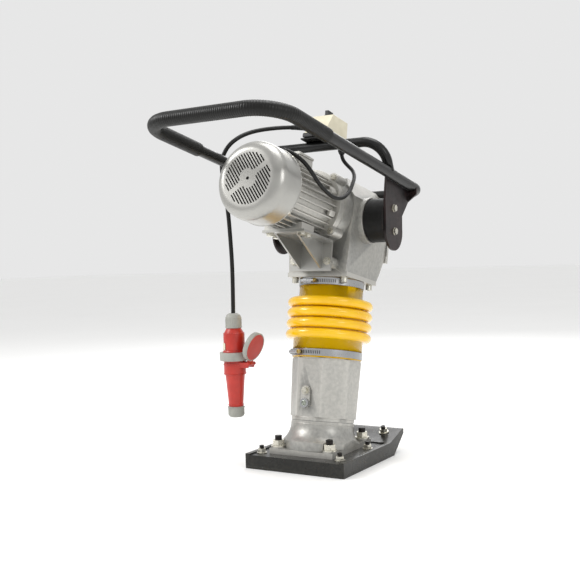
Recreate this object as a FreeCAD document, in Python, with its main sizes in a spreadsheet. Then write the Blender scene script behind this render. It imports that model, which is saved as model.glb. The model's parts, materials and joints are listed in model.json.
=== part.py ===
import FreeCAD, Part
import math
import os
import Sketcher
from types import SimpleNamespace
from FreeCAD import Placement, Rotation, Vector

# Electric tamping rammer (jumping jack).  Millimetres.
# Row frame: +X is the machine's right, +Y is forward (towards the toe), +Z is up; the origin is the middle of the
# flat sole.  The leg leans forward, and everything above the shoe is square to it, so those pieces are placed in the
# leg frame: X across, w forward and square to the leg, up_leg along the leg from the top of the shoe.

SIZES = [
    # alias, millimetres or degrees, what it is
    ("shoe_width", 285, "across the sole"),
    ("sole_length", 284, "flat part of the sole"),
    ("shoe_height", 38, "top of the shoe block"),
    ("sole_thick", 6, "steel sole plate"),
    ("toe_run", 61.5, "how far the toe reaches past the flat sole"),
    ("toe_rise", 49, "underside of the toe above the ground"),
    ("toe_lip", 13, "height of the toe's front face"),
    ("toe_slope_start", 120, "where the shoe's top starts to climb to the toe"),
    ("rim_width", 13, "raised rim along both sides of the shoe"),
    ("rim_height", 3, "rim above the seat of the leg flange"),
    ("leg_lean", 11.2, "degrees forward"),
    ("leg_foot_y", -1, "where the leg's axis meets the shoe's top"),
    ("flange_half_x", 92, "leg flange, half width"),
    ("flange_half_y", 106, "leg flange, half length"),
    ("flange_thick", 14, "leg flange"),
    ("stud_x", 75, "leg studs from the middle"),
    ("stud_y", 88, "leg studs from the middle"),
    ("stud_radius", 9, "leg studs"),
    ("stud_stand", 11, "stud end above its nut"),
    ("nut_height", 17, "leg nuts with their flange"),
    ("nut_radius", 15.6, "leg nuts over corners, half"),
    ("small_stud_x", 114, "shoe studs from the middle"),
    ("small_stud_rear", -108, "rear shoe studs"),
    ("small_stud_front", 42, "front shoe studs"),
    ("small_stud_radius", 6, "shoe studs"),
    ("small_nut_height", 12, "shoe nuts"),
    ("small_nut_radius", 11, "shoe nuts over corners, half"),
    ("toe_stud_x", 100, "toe studs from the middle"),
    ("toe_stud_along", 52, "toe studs up the toe's slope"),
    ("stud_gap", 0.25, "gap round each stud"),
    ("collar_low", 58, "leg collar, bottom"),
    ("collar_high", 77, "leg collar, top, where the octagon starts"),
    ("collar_radius", 82, "leg collar"),
    ("flare_radius", 58, "concave flare of the leg's bell"),
    ("flare_reach", 103, "bell radius at its foot"),
    ("leg_top", 246, "top of the leg casting"),
    ("leg_flat_low", 80, "octagon's half width at the bottom"),
    ("leg_flat_high", 84.5, "octagon's half width at the top"),
    ("leg_floor", 14, "bottom of the leg's bore"),
    ("tube_radius", 60, "spring cylinder, outside"),
    ("tube_wall", 6, "spring cylinder"),
    ("tube_top", 392, "spring cylinder, top"),
    ("tube_seat", 8, "spring cylinder's floor"),
    ("slide_gap", 0.3, "gap between sliding pieces"),
    ("cap_thick", 18, "spring cap"),
    ("rod_radius", 18, "piston rod"),
    ("piston_low", 178, "piston, bottom face"),
    ("piston_thick", 22, "piston"),
    ("piston_neck", 12, "rod's neck through the piston"),
    ("spring_wire", 9, "spring wire, diameter"),
    ("spring_radius", 42, "spring, to the middle of the wire"),
    ("plug_boss_x", -7, "oil bosses from the leg's middle"),
    ("glass_height", 111, "oil sight glass"),
    ("filler_height", 143, "oil filler plug"),
    ("boss_radius", 13, "oil boss"),
    ("bellows_low", 229, "bellows, lower rim"),
    ("bellows_high", 437.5, "bellows, upper rim"),
    ("neck_low", 91.5, "bellows' lower neck, radius"),
    ("neck_high", 85, "bellows' upper neck, radius"),
    ("bellows_wall", 4, "bellows"),
    ("roll_radius", 113, "bellows, over the rolls"),
    ("roll_low", 290, "middle of the lowest roll"),
    ("roll_pitch", 28, "from roll to roll"),
    ("roll_half", 12.6, "half the height of a roll"),
    ("band_width", 18, "clamp bands"),
    ("band_thick", 1.6, "clamp bands"),
    ("band_low", 232.5, "lower band's bottom edge"),
    ("band_high", 418.5, "upper band's bottom edge"),
    ("case_low", 438, "underside of the crankcase flange"),
    ("case_flange", 12, "crankcase flange"),
    ("case_half_low", 84, "crankcase half width above its flange"),
    ("case_half_mid", 96, "crankcase half width at the motor"),
    ("case_top", 702, "top of the crankcase"),
    ("case_rear", -83, "rear face"),
    ("case_front", 126, "front face, under the cover"),
    ("case_front_low", 86, "front face at the flange"),
    ("case_wall", 8, "crankcase wall"),
    ("case_bolt_x", 73, "flange bolts from the middle"),
    ("case_bolt_rear", -67, "rear flange bolts"),
    ("case_bolt_front", 74, "front flange bolts"),
    ("cover_thick", 13, "front cover"),
    ("guide_low", 276, "guide cylinder, bottom"),
    ("guide_wall", 8, "guide cylinder"),
    ("motor_height", 611, "motor axis up the leg"),
    ("crank_throw", 28, "crank radius"),
    ("rod_length", 98, "connecting rod between its pins"),
    ("rod_thick", 20, "connecting rod"),
    ("gear_module", 2.5, "teeth"),
    ("pinion_teeth", 14, "on the rotor shaft"),
    ("crank_teeth", 58, "on the crank"),
    ("gear_face", 20, "crank gear's width"),
    ("gear_rear", 22, "rear face of the crank gear"),
    ("crank_shaft", 15, "crank shaft's radius"),
    ("bearing_width", 16, "ball bearings"),
    ("neck_radius", 95, "crankcase neck that the motor bolts to"),
    ("neck_end", -128, "rear end of that neck"),
    ("motor_flange_thick", 22, "motor flange"),
    ("motor_front", -150, "front end of the finned frame"),
    ("motor_rear", -350, "rear end of the finned frame"),
    ("frame_radius", 75, "motor frame under the fins"),
    ("fin_radius", 84, "over the fins"),
    ("fin_thick", 3, "fins"),
    ("fin_count", 32, "fins round the frame"),
    ("frame_bore", 68, "motor frame's bore"),
    ("cowl_radius", 95, "fan cowl"),
    ("cowl_face", -428, "cowl's flat end"),
    ("cowl_round", 29, "rounding of the cowl's end"),
    ("cowl_lap", 6, "cowl over the frame"),
    ("cowl_wall", 2, "cowl sheet"),
    ("cowl_slot", 3.4, "width of the air slots"),
    ("cowl_slot_pitch", 7, "from slot to slot"),
    ("shaft_radius", 12, "rotor shaft"),
    ("rotor_radius", 46, "rotor core"),
    ("air_gap", 0.6, "rotor to stator"),
    ("fan_radius", 84, "cooling fan"),
    ("box_half_x", 42, "terminal box"),
    ("box_rear", -276, "terminal box"),
    ("box_front", -212, "terminal box"),
    ("box_top", 707, "terminal box, under its lid"),
    ("lid_thick", 10, "terminal box lid"),
    ("bracket_half", 60, "motor bracket, half width"),
    ("bracket_plate", 6, "motor bracket plates"),
    ("bracket_face", -114, "where the bracket meets the crankcase posts"),
    ("bracket_low", 446, "bottom of the bracket"),
    ("bracket_rear", -262, "rear edge of the bracket's top plate"),
    ("bracket_bolt_x", 49, "bracket bolts"),
    ("bracket_bolt_height", 471, "bracket bolts"),
    ("buffer_height", 598, "rubber buffer axis up the leg"),
    ("buffer_radius", 57, "rubber buffer"),
    ("buffer_inner", 110, "inner end of the rubber"),
    ("buffer_outer", 166, "outer end of the rubber"),
    ("boss_reach", 109.7, "buffer seat on the crankcase"),
    ("plate_thick", 6, "handle brackets"),
    ("plate_half", 50, "handle bracket's half width at the buffer"),
    ("buffer_bolt_gap", 60, "between the two bolts of a bracket"),
    ("rail_x", 181, "handle rails from the middle"),
    ("rail_height", 706, "handle rails up the leg"),
    ("tube_half", 14, "handle tube's radius"),
    ("handle_rear", -606, "rear bar, w"),
    ("handle_front", 150, "front bar, w"),
    ("handle_bend", 80, "bend radius at the rear corners"),
    ("front_bend", 60, "bend radius at the front corners"),
    ("grip_thick", 3.2, "ribbed grip over the tube"),
    ("grip_end", -390, "where the grip ends on the rails"),
    ("hoop_foot", -60, "foot of the guard hoop, w"),
    ("hoop_top", 779, "guard hoop, up the leg"),
    ("hoop_lean", -49, "hoop's top behind its feet"),
    ("hoop_radius", 13, "hoop tube"),
    ("hoop_bend", 58, "hoop's bend radius"),
    ("switch_half", 31, "switch box, half width"),
    ("switch_low", 806, "switch box, bottom"),
    ("switch_high", 864, "switch box, top"),
    ("switch_rear", -146, "switch box, bottom rear edge"),
    ("switch_crown", -106, "switch box, top rear edge"),
    ("switch_front", -26, "switch box, front"),
    ("switch_plate_thick", 4, "mounting plate"),
    ("knob_radius", 14, "switch knob"),
    ("knob_height", 20, "switch knob"),
    ("cord_diameter", 11, "supply cord"),
    ("lead_diameter", 10, "motor lead"),
    ("plug_x", -207, "hanging plug"),
    ("plug_y", -84, "hanging plug"),
    ("plug_top", 393, "top of the plug's gland nut"),
    ("plug_nut_low", 354, "plug's gland nut, bottom"),
    ("ring_high", 291, "bayonet ring, top"),
    ("ring_low", 269, "bayonet ring, bottom"),
    ("collar_end", 232, "connector's collar, bottom"),
    ("connector_end", 147, "connector's body, bottom"),
    ("connector_nut_end", 119, "connector's gland nut, bottom"),
    ("plug_radius", 28, "plug's body"),
    ("ring_radius", 39, "bayonet ring"),
    ("collar_radius_out", 31, "connector's collar"),
    ("connector_radius", 26, "connector's body at its top"),
    ("connector_taper", 19, "connector's body at its bottom"),
    ("nut_round", 21, "cable gland nuts of the plug and connector"),
]

doc = FreeCAD.newDocument("TampingRammer")
sheet = doc.addObject("Spreadsheet::Sheet", "Dims")
for row, (alias, value, note) in enumerate(SIZES, start=1):
    sheet.set("A%d" % row, note)
    sheet.set("B%d" % row, str(value))
    sheet.setAlias("B%d" % row, alias)
doc.recompute()


class Size:
    """A number from the sheet together with the formula that gives it, so it can size or place anything."""

    def __init__(self, value, text):
        self.value = float(value)
        self.text = text

    def _join(self, other, sign, value, swap=False):
        other = other if isinstance(other, Size) else Size(other, repr(float(other)))
        left, right = (other, self) if swap else (self, other)
        return Size(value(left.value, right.value), "(%s %s %s)" % (left.text, sign, right.text))

    def __add__(self, other):
        return self._join(other, "+", lambda a, b: a + b)

    def __radd__(self, other):
        return self._join(other, "+", lambda a, b: a + b, True)

    def __sub__(self, other):
        return self._join(other, "-", lambda a, b: a - b)

    def __rsub__(self, other):
        return self._join(other, "-", lambda a, b: a - b, True)

    def __mul__(self, other):
        return self._join(other, "*", lambda a, b: a * b)

    def __rmul__(self, other):
        return self._join(other, "*", lambda a, b: a * b, True)

    def __truediv__(self, other):
        return self._join(other, "/", lambda a, b: a / b)

    def __neg__(self):
        return self * -1

    def __float__(self):
        return self.value


d = SimpleNamespace(**{alias: Size(sheet.get(alias), "Dims." + alias) for alias, _, _ in SIZES})
ROUND = 360
OVER = 1.0  # how far a cutting tool runs past the face it cuts

LEG = Placement(Vector(0, d.leg_foot_y.value, d.shoe_height.value),
                Rotation(Vector(1, 0, 0), -d.leg_lean.value))
GROUND = Placement()
TURNS = {
    "up": Rotation(),
    "down": Rotation(Vector(1, 0, 0), 180),
    "forward": Rotation(Vector(1, 0, 0), -90),
    "back": Rotation(Vector(1, 0, 0), 90),
    "right": Rotation(Vector(0, 1, 0), 90),
    "left": Rotation(Vector(0, 1, 0), -90),
}
pieces = []


def text(size):
    return size.text if isinstance(size, Size) else repr(float(size))


def fit(obj, **sizes):
    """Bind an object's properties to sheet formulas."""
    for name, size in sizes.items():
        obj.setExpression(name, text(size))
    return obj


def put(obj, x, y, z, turn="up"):
    """Place an object within its piece, by sheet formulas."""
    obj.Placement = Placement(Vector(float(x), float(y), float(z)), TURNS[turn])
    for name, size in zip("xyz", (x, y, z)):
        obj.setExpression("Placement.Base." + name, text(size))
    return obj


def add(kind, **sizes):
    return fit(doc.addObject("Part::" + kind, kind), **sizes)


def rod(radius, length, x=0, y=0, z=0, turn="up"):
    return put(add("Cylinder", Radius=radius, Height=length), x, y, z, turn)


def block(length, width, height, x=0, y=0, z=0):
    """A box whose corner is at x, y, z."""
    return put(add("Box", Length=length, Width=width, Height=height), x, y, z)


def slab(half, y_low, y_high, z_low, z_high):
    """A box centred on X between two w values and two heights."""
    return block(half * 2, y_high - y_low, z_high - z_low, -1 * half, y_low, z_low)


def hexagon(radius, length, x=0, y=0, z=0, turn="up"):
    prism = add("Prism", Circumradius=radius, Height=length)
    prism.Polygon = 6
    return put(prism, x, y, z, turn)


def fuse(*shapes):
    obj = doc.addObject("Part::MultiFuse", "Fusion")
    obj.Shapes = list(shapes)
    obj.Refine = True
    return obj


def cut(base, *tools):
    obj = doc.addObject("Part::Cut", "Cut")
    obj.Base = base
    obj.Tool = tools[0] if len(tools) == 1 else fuse(*tools)
    return obj


def common(*shapes):
    obj = doc.addObject("Part::MultiCommon", "Common")
    obj.Shapes = list(shapes)
    return obj


def together(*shapes):
    """Separate solids that make one group, such as the same bolt four times."""
    obj = doc.addObject("Part::Compound", "Group")
    obj.Links = list(shapes)
    return obj


def tube(outer, inner, length, x=0, y=0, z=0, turn="up"):
    shape = cut(rod(outer, length), rod(inner, length + 2 * OVER, z=-OVER))
    return put(shape, x, y, z, turn)


def plane(body, role):
    return [item for item in body.Origin.OriginFeatures if item.Role == role][0]


def outline(body, role, corners):
    """A closed sketch with straight sides on one of the body's planes; every corner is held by sheet formulas."""
    sketch = body.newObject("Sketcher::SketchObject", "Outline")
    sketch.AttachmentSupport = (plane(body, role), [""])
    sketch.MapMode = "FlatFace"
    spots = [Vector(float(x), float(y), 0) for x, y in corners]
    count = len(spots)
    for i in range(count):
        sketch.addGeometry(Part.LineSegment(spots[i], spots[(i + 1) % count]), False)
    for i in range(count):
        sketch.addConstraint(Sketcher.Constraint("Coincident", i, 2, (i + 1) % count, 1))
    for i, (x, y) in enumerate(corners):
        for kind, size in (("DistanceX", x), ("DistanceY", y)):
            index = sketch.addConstraint(Sketcher.Constraint(kind, -1, 1, i, 1, float(size)))
            if isinstance(size, Size):
                sketch.setExpression("Constraints[%d]" % index, size.text)
    return sketch


def pad(role, corners, length, midplane=True, reverse=False):
    """A Body padded from a straight-sided outline."""
    body = doc.addObject("PartDesign::Body", "Body")
    sketch = outline(body, role, corners)
    feature = body.newObject("PartDesign::Pad", "Pad")
    feature.Profile = sketch
    feature.Midplane = midplane
    feature.Reversed = reverse
    fit(feature, Length=length)
    sketch.Visibility = False
    return body


def turned(corners, x=0, y=0, z=0, turn="up"):
    """A Body turned about its own Z axis; the corners are (radius, height)."""
    body = doc.addObject("PartDesign::Body", "Body")
    sketch = outline(body, "XZ_Plane", corners)
    feature = body.newObject("PartDesign::Revolution", "Revolution")
    feature.Profile = sketch
    feature.ReferenceAxis = (sketch, ["V_Axis"])
    feature.Angle = ROUND
    return put(body, x, y, z, turn)


def spun(shape, angle):
    """The shape turned about the Z axis of its own piece."""
    holder = together(shape)
    holder.Placement = Placement(Vector(), Rotation(Vector(0, 0, 1), angle))
    return holder


def name(obj, label, frame=LEG):
    """Give a finished piece its name and its place in the row frame."""
    if frame is LEG:
        if obj.TypeId != "Part::Compound":
            obj = together(obj)
        obj.Placement = LEG
        obj.setExpression("Placement.Base.y", d.leg_foot_y.text)
        obj.setExpression("Placement.Base.z", d.shoe_height.text)
        obj.setExpression("Placement.Rotation.Angle", text(-1 * d.leg_lean))
    obj.Label = label
    pieces.append(obj)
    return obj


# ---- foot: shoe, leg casting, nuts ---------------------------------------------------------------------------
half_sole = d.sole_length / 2
slope = math.atan2(d.toe_rise.value, d.toe_run.value)
toe_y = half_sole + d.toe_run
plate_step = d.sole_thick / math.cos(slope)
plate_bend = half_sole - d.sole_thick * math.tan(slope / 2)
toe_top = d.toe_rise + d.toe_lip

sole_plate = pad("YZ_Plane", [(-1 * half_sole, 0), (half_sole, 0), (toe_y, d.toe_rise),
                              (toe_y, d.toe_rise + plate_step),
                              (plate_bend, d.sole_thick), (-1 * half_sole, d.sole_thick)], d.shoe_width)
name(sole_plate, "sole_plate", GROUND)

toe_flat = 9
shoe_body = pad("YZ_Plane", [(-1 * half_sole, d.sole_thick), (plate_bend, d.sole_thick),
                             (toe_y, d.toe_rise + plate_step),
                             (toe_y, toe_top), (toe_y - toe_flat, toe_top),
                             (d.toe_slope_start, d.shoe_height),
                             (-1 * half_sole, d.shoe_height)], d.shoe_width)
seat = slab(d.shoe_width / 2 - d.rim_width, -1 * half_sole - OVER, d.toe_slope_start - 4,
            d.shoe_height - d.rim_height, d.shoe_height + OVER)
toe_rise_run = toe_y - toe_flat - d.toe_slope_start
toe_climb = math.atan2(float(toe_top - d.shoe_height), float(toe_rise_run))
leg_spots = [(sx * d.stud_x, sy * d.stud_y) for sx in (-1, 1) for sy in (-1, 1)]
small_spots = [(sx * d.small_stud_x, y) for sx in (-1, 1) for y in (d.small_stud_rear, d.small_stud_front)]
seat_z = d.shoe_height - d.rim_height
flange_top = seat_z + d.flange_thick
lug_top = flange_top + 3


def toe_place(along, above):
    """A place on the toe's slope: along it from where it starts, and square above it."""
    return (d.toe_slope_start.value + along * math.cos(toe_climb) - above * math.sin(toe_climb),
            d.shoe_height.value + along * math.sin(toe_climb) + above * math.cos(toe_climb))


def on_toe(shape_of, above):
    """Make a round or six-sided solid square to the toe's slope on both sides of the shoe."""
    made = []
    for side in (-1, 1):
        y, z = toe_place(d.toe_stud_along.value, above)
        shape = together(shape_of())
        shape.Placement = Placement(Vector(side * d.toe_stud_x.value, y, z),
                                    Rotation(Vector(1, 0, 0), math.degrees(toe_climb)))
        made.append(shape)
    return made


stud_depth = 9
holes = [rod(d.stud_radius + d.stud_gap, d.shoe_height, x, y, d.sole_thick) for x, y in leg_spots]
holes += [rod(d.small_stud_radius + d.stud_gap, d.shoe_height, x, y, d.sole_thick) for x, y in small_spots]
holes += on_toe(lambda: rod(d.small_stud_radius + d.stud_gap, stud_depth + OVER), -stud_depth)
name(cut(shoe_body, seat, *holes), "shoe_block", GROUND)

studs = [rod(d.stud_radius, lug_top + d.nut_height + d.stud_stand - d.sole_thick, x, y, d.sole_thick)
         for x, y in leg_spots]
studs += [rod(d.small_stud_radius, seat_z + d.small_nut_height + 8 - d.sole_thick, x, y, d.sole_thick)
          for x, y in small_spots]
studs += on_toe(lambda: rod(d.small_stud_radius, stud_depth + d.small_nut_height + 7), -stud_depth)
name(together(*studs), "shoe_studs", GROUND)


def flange_nut(radius, height, bore):
    """A six-sided nut on its own round flange."""
    return cut(fuse(rod(radius * 1.22, height * 0.22), hexagon(radius, height)),
               rod(bore, height + 2 * OVER, z=-OVER))


stud_fit = 0.05
nuts = [put(flange_nut(d.nut_radius, d.nut_height, d.stud_radius + stud_fit), x, y, lug_top)
        for x, y in leg_spots]
nuts += [put(flange_nut(d.small_nut_radius, d.small_nut_height, d.small_stud_radius + stud_fit), x, y, seat_z)
         for x, y in small_spots]
nuts += on_toe(lambda: flange_nut(d.small_nut_radius, d.small_nut_height, d.small_stud_radius + stud_fit), 0)
name(together(*nuts), "shoe_nuts", GROUND)


def octagon(flat, height):
    """Eight-sided wire with flats facing right, left, forward and back."""
    wire = add("RegularPolygon", Circumradius=flat / math.cos(math.pi / 8))
    wire.Polygon = 8
    wire.Placement = Placement(Vector(0, 0, float(height)), Rotation(Vector(0, 0, 1), 22.5))
    wire.setExpression("Placement.Base.z", text(height))
    return wire


column = doc.addObject("Part::Loft", "Column")
spigot_low = d.bellows_low - 2
column.Sections = [octagon(d.leg_flat_low, d.collar_high), octagon(d.leg_flat_high, spigot_low)]
column.Solid = True
column.Ruled = True
flare_low = -24
bell = cut(rod(d.flare_reach, d.collar_low - flare_low, z=flare_low),
           put(add("Torus", Radius1=d.collar_radius + d.flare_radius, Radius2=d.flare_radius), 0, 0,
               d.collar_low))
groove = tube(d.collar_radius + 3, d.collar_radius - 1.5, 2, z=d.collar_low + 8)
collar = cut(rod(d.collar_radius, d.collar_high - d.collar_low + 2, z=d.collar_low), groove)
boss_depth = 7
boss_face = -1 * d.leg_flat_low - boss_depth
oil_pad = fuse(*[rod(d.boss_radius, boss_depth + 12, d.plug_boss_x, boss_face, h, "forward")
                 for h in (d.glass_height, d.filler_height)],
               block(d.boss_radius * 2, boss_depth + 12, d.filler_height - d.glass_height,
                     d.plug_boss_x - d.boss_radius, boss_face, d.glass_height))
spigot = rod(d.neck_low - d.bellows_wall, d.leg_top - spigot_low + OVER, z=spigot_low - OVER)
leaning = fuse(column, bell, collar, oil_pad, spigot)
leaning.Placement = Placement(LEG.Base, LEG.Rotation)
under = slab(400, -400, 400, -200, seat_z)
beside = cut(slab(400, -400, 400, -200, d.shoe_height + 60),
             slab(d.flange_half_x, -1 * d.flange_half_y, d.flange_half_y, -220, 300))
flange = fuse(slab(d.flange_half_x, -1 * d.flange_half_y, d.flange_half_y, seat_z, flange_top),
              *[rod(19, lug_top - seat_z, x, y, seat_z) for x, y in leg_spots])
bore = fuse(rod(d.tube_radius + stud_fit, d.leg_top, z=d.leg_floor),
            rod(9.2, 40, d.plug_boss_x, boss_face - OVER, d.glass_height, "forward"),
            rod(8.2, 40, d.plug_boss_x, boss_face - OVER, d.filler_height, "forward"))
bore.Placement = Placement(LEG.Base, LEG.Rotation)
nut_room = [rod(d.nut_radius * 1.22 + 1.5, 60, x, y, lug_top) for x, y in leg_spots]
leg_holes = [rod(d.stud_radius + d.stud_gap, 60, x, y, seat_z - OVER) for x, y in leg_spots]
leg = cut(fuse(leaning, flange), under, beside, bore, *nut_room, *leg_holes)
name(leg, "leg_cylinder", GROUND)

name(turned([(0, 4), (9, 4), (9, 0), (12, 0), (12, -5), (6, -5), (6, 0), (0, 0)],
            d.plug_boss_x, boss_face, d.glass_height, "forward"), "sight_glass")
name(fuse(rod(8, 12, d.plug_boss_x, boss_face, d.filler_height, "forward"),
          rod(11, 3, d.plug_boss_x, boss_face - 3, d.filler_height, "forward"),
          hexagon(8, 6, d.plug_boss_x, boss_face - 9, d.filler_height, "forward")), "filler_plug")

tube_inner = d.tube_radius - d.tube_wall
floor_top = d.leg_floor + d.tube_seat
name(turned([(0, d.leg_floor), (d.tube_radius, d.leg_floor), (d.tube_radius, d.tube_top),
             (tube_inner, d.tube_top),
             (tube_inner, floor_top), (0, floor_top)]), "spring_cylinder")
cap_low = d.tube_top - d.cap_thick
name(turned([(d.rod_radius + d.slide_gap, cap_low), (tube_inner, cap_low), (tube_inner, d.tube_top),
             (d.rod_radius + d.slide_gap, d.tube_top)]), "spring_cap")


def coil(low, high, turns, label):
    """A round-wire spring standing between two heights."""
    helix = add("Helix", Radius=d.spring_radius, Pitch=(high - low - d.spring_wire) / turns,
                Height=high - low - d.spring_wire)
    put(helix, 0, 0, low + d.spring_wire / 2)
    wire = put(add("Circle", Radius=d.spring_wire / 2), d.spring_radius, 0, low + d.spring_wire / 2, "back")
    sweep = doc.addObject("Part::Sweep", "Coil")
    sweep.Sections = [wire]
    sweep.Spine = (helix, ["Edge1"])
    sweep.Solid = True
    sweep.Frenet = True
    name(sweep, label)


spring_turns = 6
piston_top = d.piston_low + d.piston_thick
coil(floor_top, d.piston_low, spring_turns, "lower_spring")
coil(piston_top, cap_low, spring_turns, "upper_spring")


def bellows_profile():
    """Half section of the bellows: two necks and four fat rolls of the same wall."""
    mid = (d.neck_low.value + d.neck_high.value) / 2
    low, high, wall = d.bellows_low.value, d.bellows_high.value, d.bellows_wall.value
    rolls = [d.roll_low.value + i * d.roll_pitch.value for i in range(4)]
    half = d.roll_half.value

    def side(outward):
        """The outer line, or the inner one a wall further in, from the lower rim to the upper."""
        shift = 0 if outward else -wall
        reach = d.roll_radius.value + shift
        grip = half + shift
        root_low, root_high = d.neck_low.value + shift, d.neck_high.value + shift
        line = [("to", root_low, low)]
        for i, middle in enumerate(rolls):
            root = root_low if i == 0 else mid + shift + 6
            after = root_high if i == 3 else mid + shift + 6
            line += [("to", root, middle - grip), ("to", reach - grip, middle - grip),
                     ("arc", reach, middle, reach - grip, middle + grip), ("to", after, middle + grip)]
        return line + [("to", root_high, high)]

    def trace(line):
        done, last = [], None
        for step in line:
            if step[0] == "to":
                spot = Vector(step[1], 0, step[2])
                if last is not None and (spot - last).Length > 1e-6:
                    done.append(Part.LineSegment(last, spot).toShape())
                last = spot
            else:
                through, end = Vector(step[1], 0, step[2]), Vector(step[3], 0, step[4])
                done.append(Part.Arc(last, through, end).toShape())
                last = end
        return done, last

    outer, outer_end = trace(side(True))
    inner, inner_end = trace(side(False))
    starts = [Part.LineSegment(Vector(d.neck_low.value, 0, low),
                               Vector(d.neck_low.value - wall, 0, low)).toShape(),
              Part.LineSegment(outer_end, inner_end).toShape()]
    edges = Part.sortEdges(outer + inner + starts)[0]
    return Part.Face(Part.Wire(edges))


bellows = doc.addObject("Part::Feature", "Bellows")
bellows.Shape = bellows_profile().revolve(Vector(0, 0, 0), Vector(0, 0, 1), ROUND)
name(bellows, "bellows")


def band(radius, low, label, turn=-32):
    """Worm-drive clamp band with its screw housing at the rear left."""
    ring = tube(radius + d.band_thick, radius, d.band_width, z=low)
    housing = block(30, 9, d.band_width - 4, -15, -1 * radius - 9.5, low + 2)
    screw = rod(5, 44, -22, -1 * radius - 6, low + d.band_width / 2, "right")
    outer = rod(radius + d.band_thick / 2, d.band_width + 2, z=low - 1)
    lock = cut(fuse(housing, screw), outer)
    lock.Placement = Placement(Vector(), Rotation(Vector(0, 0, 1), turn))
    name(fuse(ring, lock), label)


band(d.neck_low, d.band_low, "lower_clamp")


# ---- ram: piston, rod and its pins -----------------------------------------------------------------------------
crank_height = d.motor_height - d.gear_module * (d.pinion_teeth + d.crank_teeth) / 2
gudgeon_height = crank_height + d.crank_throw - d.rod_length
gudgeon_radius = 9
pin_fit = 0.05
fork_gap = 0.3
name(turned([(d.piston_neck + pin_fit, d.piston_low), (tube_inner - d.slide_gap, d.piston_low),
             (tube_inner - d.slide_gap, piston_top), (d.piston_neck + pin_fit, piston_top)]), "piston")
piston_nut = 14
fork_low, fork_high, fork_half_x, fork_half_w = gudgeon_height - 21, gudgeon_height + 16, 17, 20
shank = turned([(0, d.piston_low - piston_nut - 3), (d.piston_neck, d.piston_low - piston_nut - 3),
                (d.piston_neck, piston_top), (d.rod_radius, piston_top), (d.rod_radius, fork_low),
                (0, fork_low)])
fork = cut(slab(fork_half_x, -fork_half_w, fork_half_w, fork_low - 8, fork_high),
           slab(fork_half_x + OVER, d.rod_thick / -2 - fork_gap, d.rod_thick / 2 + fork_gap,
                gudgeon_height - 17, fork_high + OVER),
           rod(gudgeon_radius + pin_fit, 80, 0, -40, gudgeon_height, "forward"))
name(fuse(shank, fork), "piston_rod")
name(cut(hexagon(19, piston_nut, z=d.piston_low - piston_nut),
         rod(d.piston_neck + pin_fit, 60, z=d.piston_low - 40)), "piston_nut")
name(rod(gudgeon_radius, fork_half_w * 2, 0, -fork_half_w, gudgeon_height, "forward"), "gudgeon_pin")

# ---- connecting rod, its crank pin ending just short of the gear ---------------------------------------------
pin_radius = 10
pin_height = crank_height + d.crank_throw
rod_rear = d.rod_thick / -2
eye = fuse(rod(15.5, d.rod_thick, 0, rod_rear, gudgeon_height, "forward"),
           rod(20, d.rod_thick, 0, rod_rear, pin_height, "forward"),
           slab(10, d.rod_thick / -2 + 3, d.rod_thick / 2 - 3, gudgeon_height, pin_height))
name(cut(eye, rod(gudgeon_radius + pin_fit, 60, 0, -30, gudgeon_height, "forward"),
         rod(pin_radius + pin_fit, 60, 0, -30, pin_height, "forward")), "connecting_rod")
name(rod(pin_radius, d.rod_thick / 2 + d.gear_rear - 0.5, 0, rod_rear, pin_height, "forward"), "crank_pin")

# ---- crankcase and cover ---------------------------------------------------------------------------------------
case_floor = d.case_low + d.case_flange
roof = d.case_top


def casting(inset):
    """The crankcase's outer form, or its cavity when inset: a front outline crossed with a side outline."""
    low = d.case_low if inset == 0 else case_floor
    open_front = d.case_front if inset == 0 else d.case_front + OVER
    front = pad("XZ_Plane", [(-1 * d.case_half_low + inset, low), (d.case_half_low - inset, low),
                             (d.case_half_mid - inset, roof - 102), (d.case_half_mid - inset, roof - 54),
                             (58 - inset / 2, roof - inset), (-58 + inset / 2, roof - inset),
                             (-1 * d.case_half_mid + inset, roof - 54),
                             (-1 * d.case_half_mid + inset, roof - 102)],
                400)
    side = pad("YZ_Plane", [(d.case_rear + inset, low), (d.case_front_low - inset, low),
                            (d.case_front_low + 18 - inset, low + 32 - inset / 2),
                            (open_front, crank_height - 1),
                            (open_front, roof - 16 - inset), (open_front - 14, roof - inset),
                            (d.case_rear + 24 + inset, roof - inset), (d.case_rear + inset, roof - 24)], 300)
    return common(front, side)


flange_plate = slab(d.case_half_low + 4, d.case_rear, d.case_front_low, d.case_low, case_floor)
neck = rod(d.neck_radius, d.case_rear + 4 - d.neck_end, 0, d.neck_end, d.motor_height, "forward")
ear_angles = (45, 135, 225, 315)
ear_reach = 96


def motor_ears(low, length, radius, reach=ear_reach):
    """Round solids at the four bolt places of the motor flange."""
    made = []
    for angle in ear_angles:
        x = reach * math.cos(math.radians(angle))
        rise = reach * math.sin(math.radians(angle))
        made.append(rod(radius, length, x, low, d.motor_height + rise, "forward"))
    return made


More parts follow.
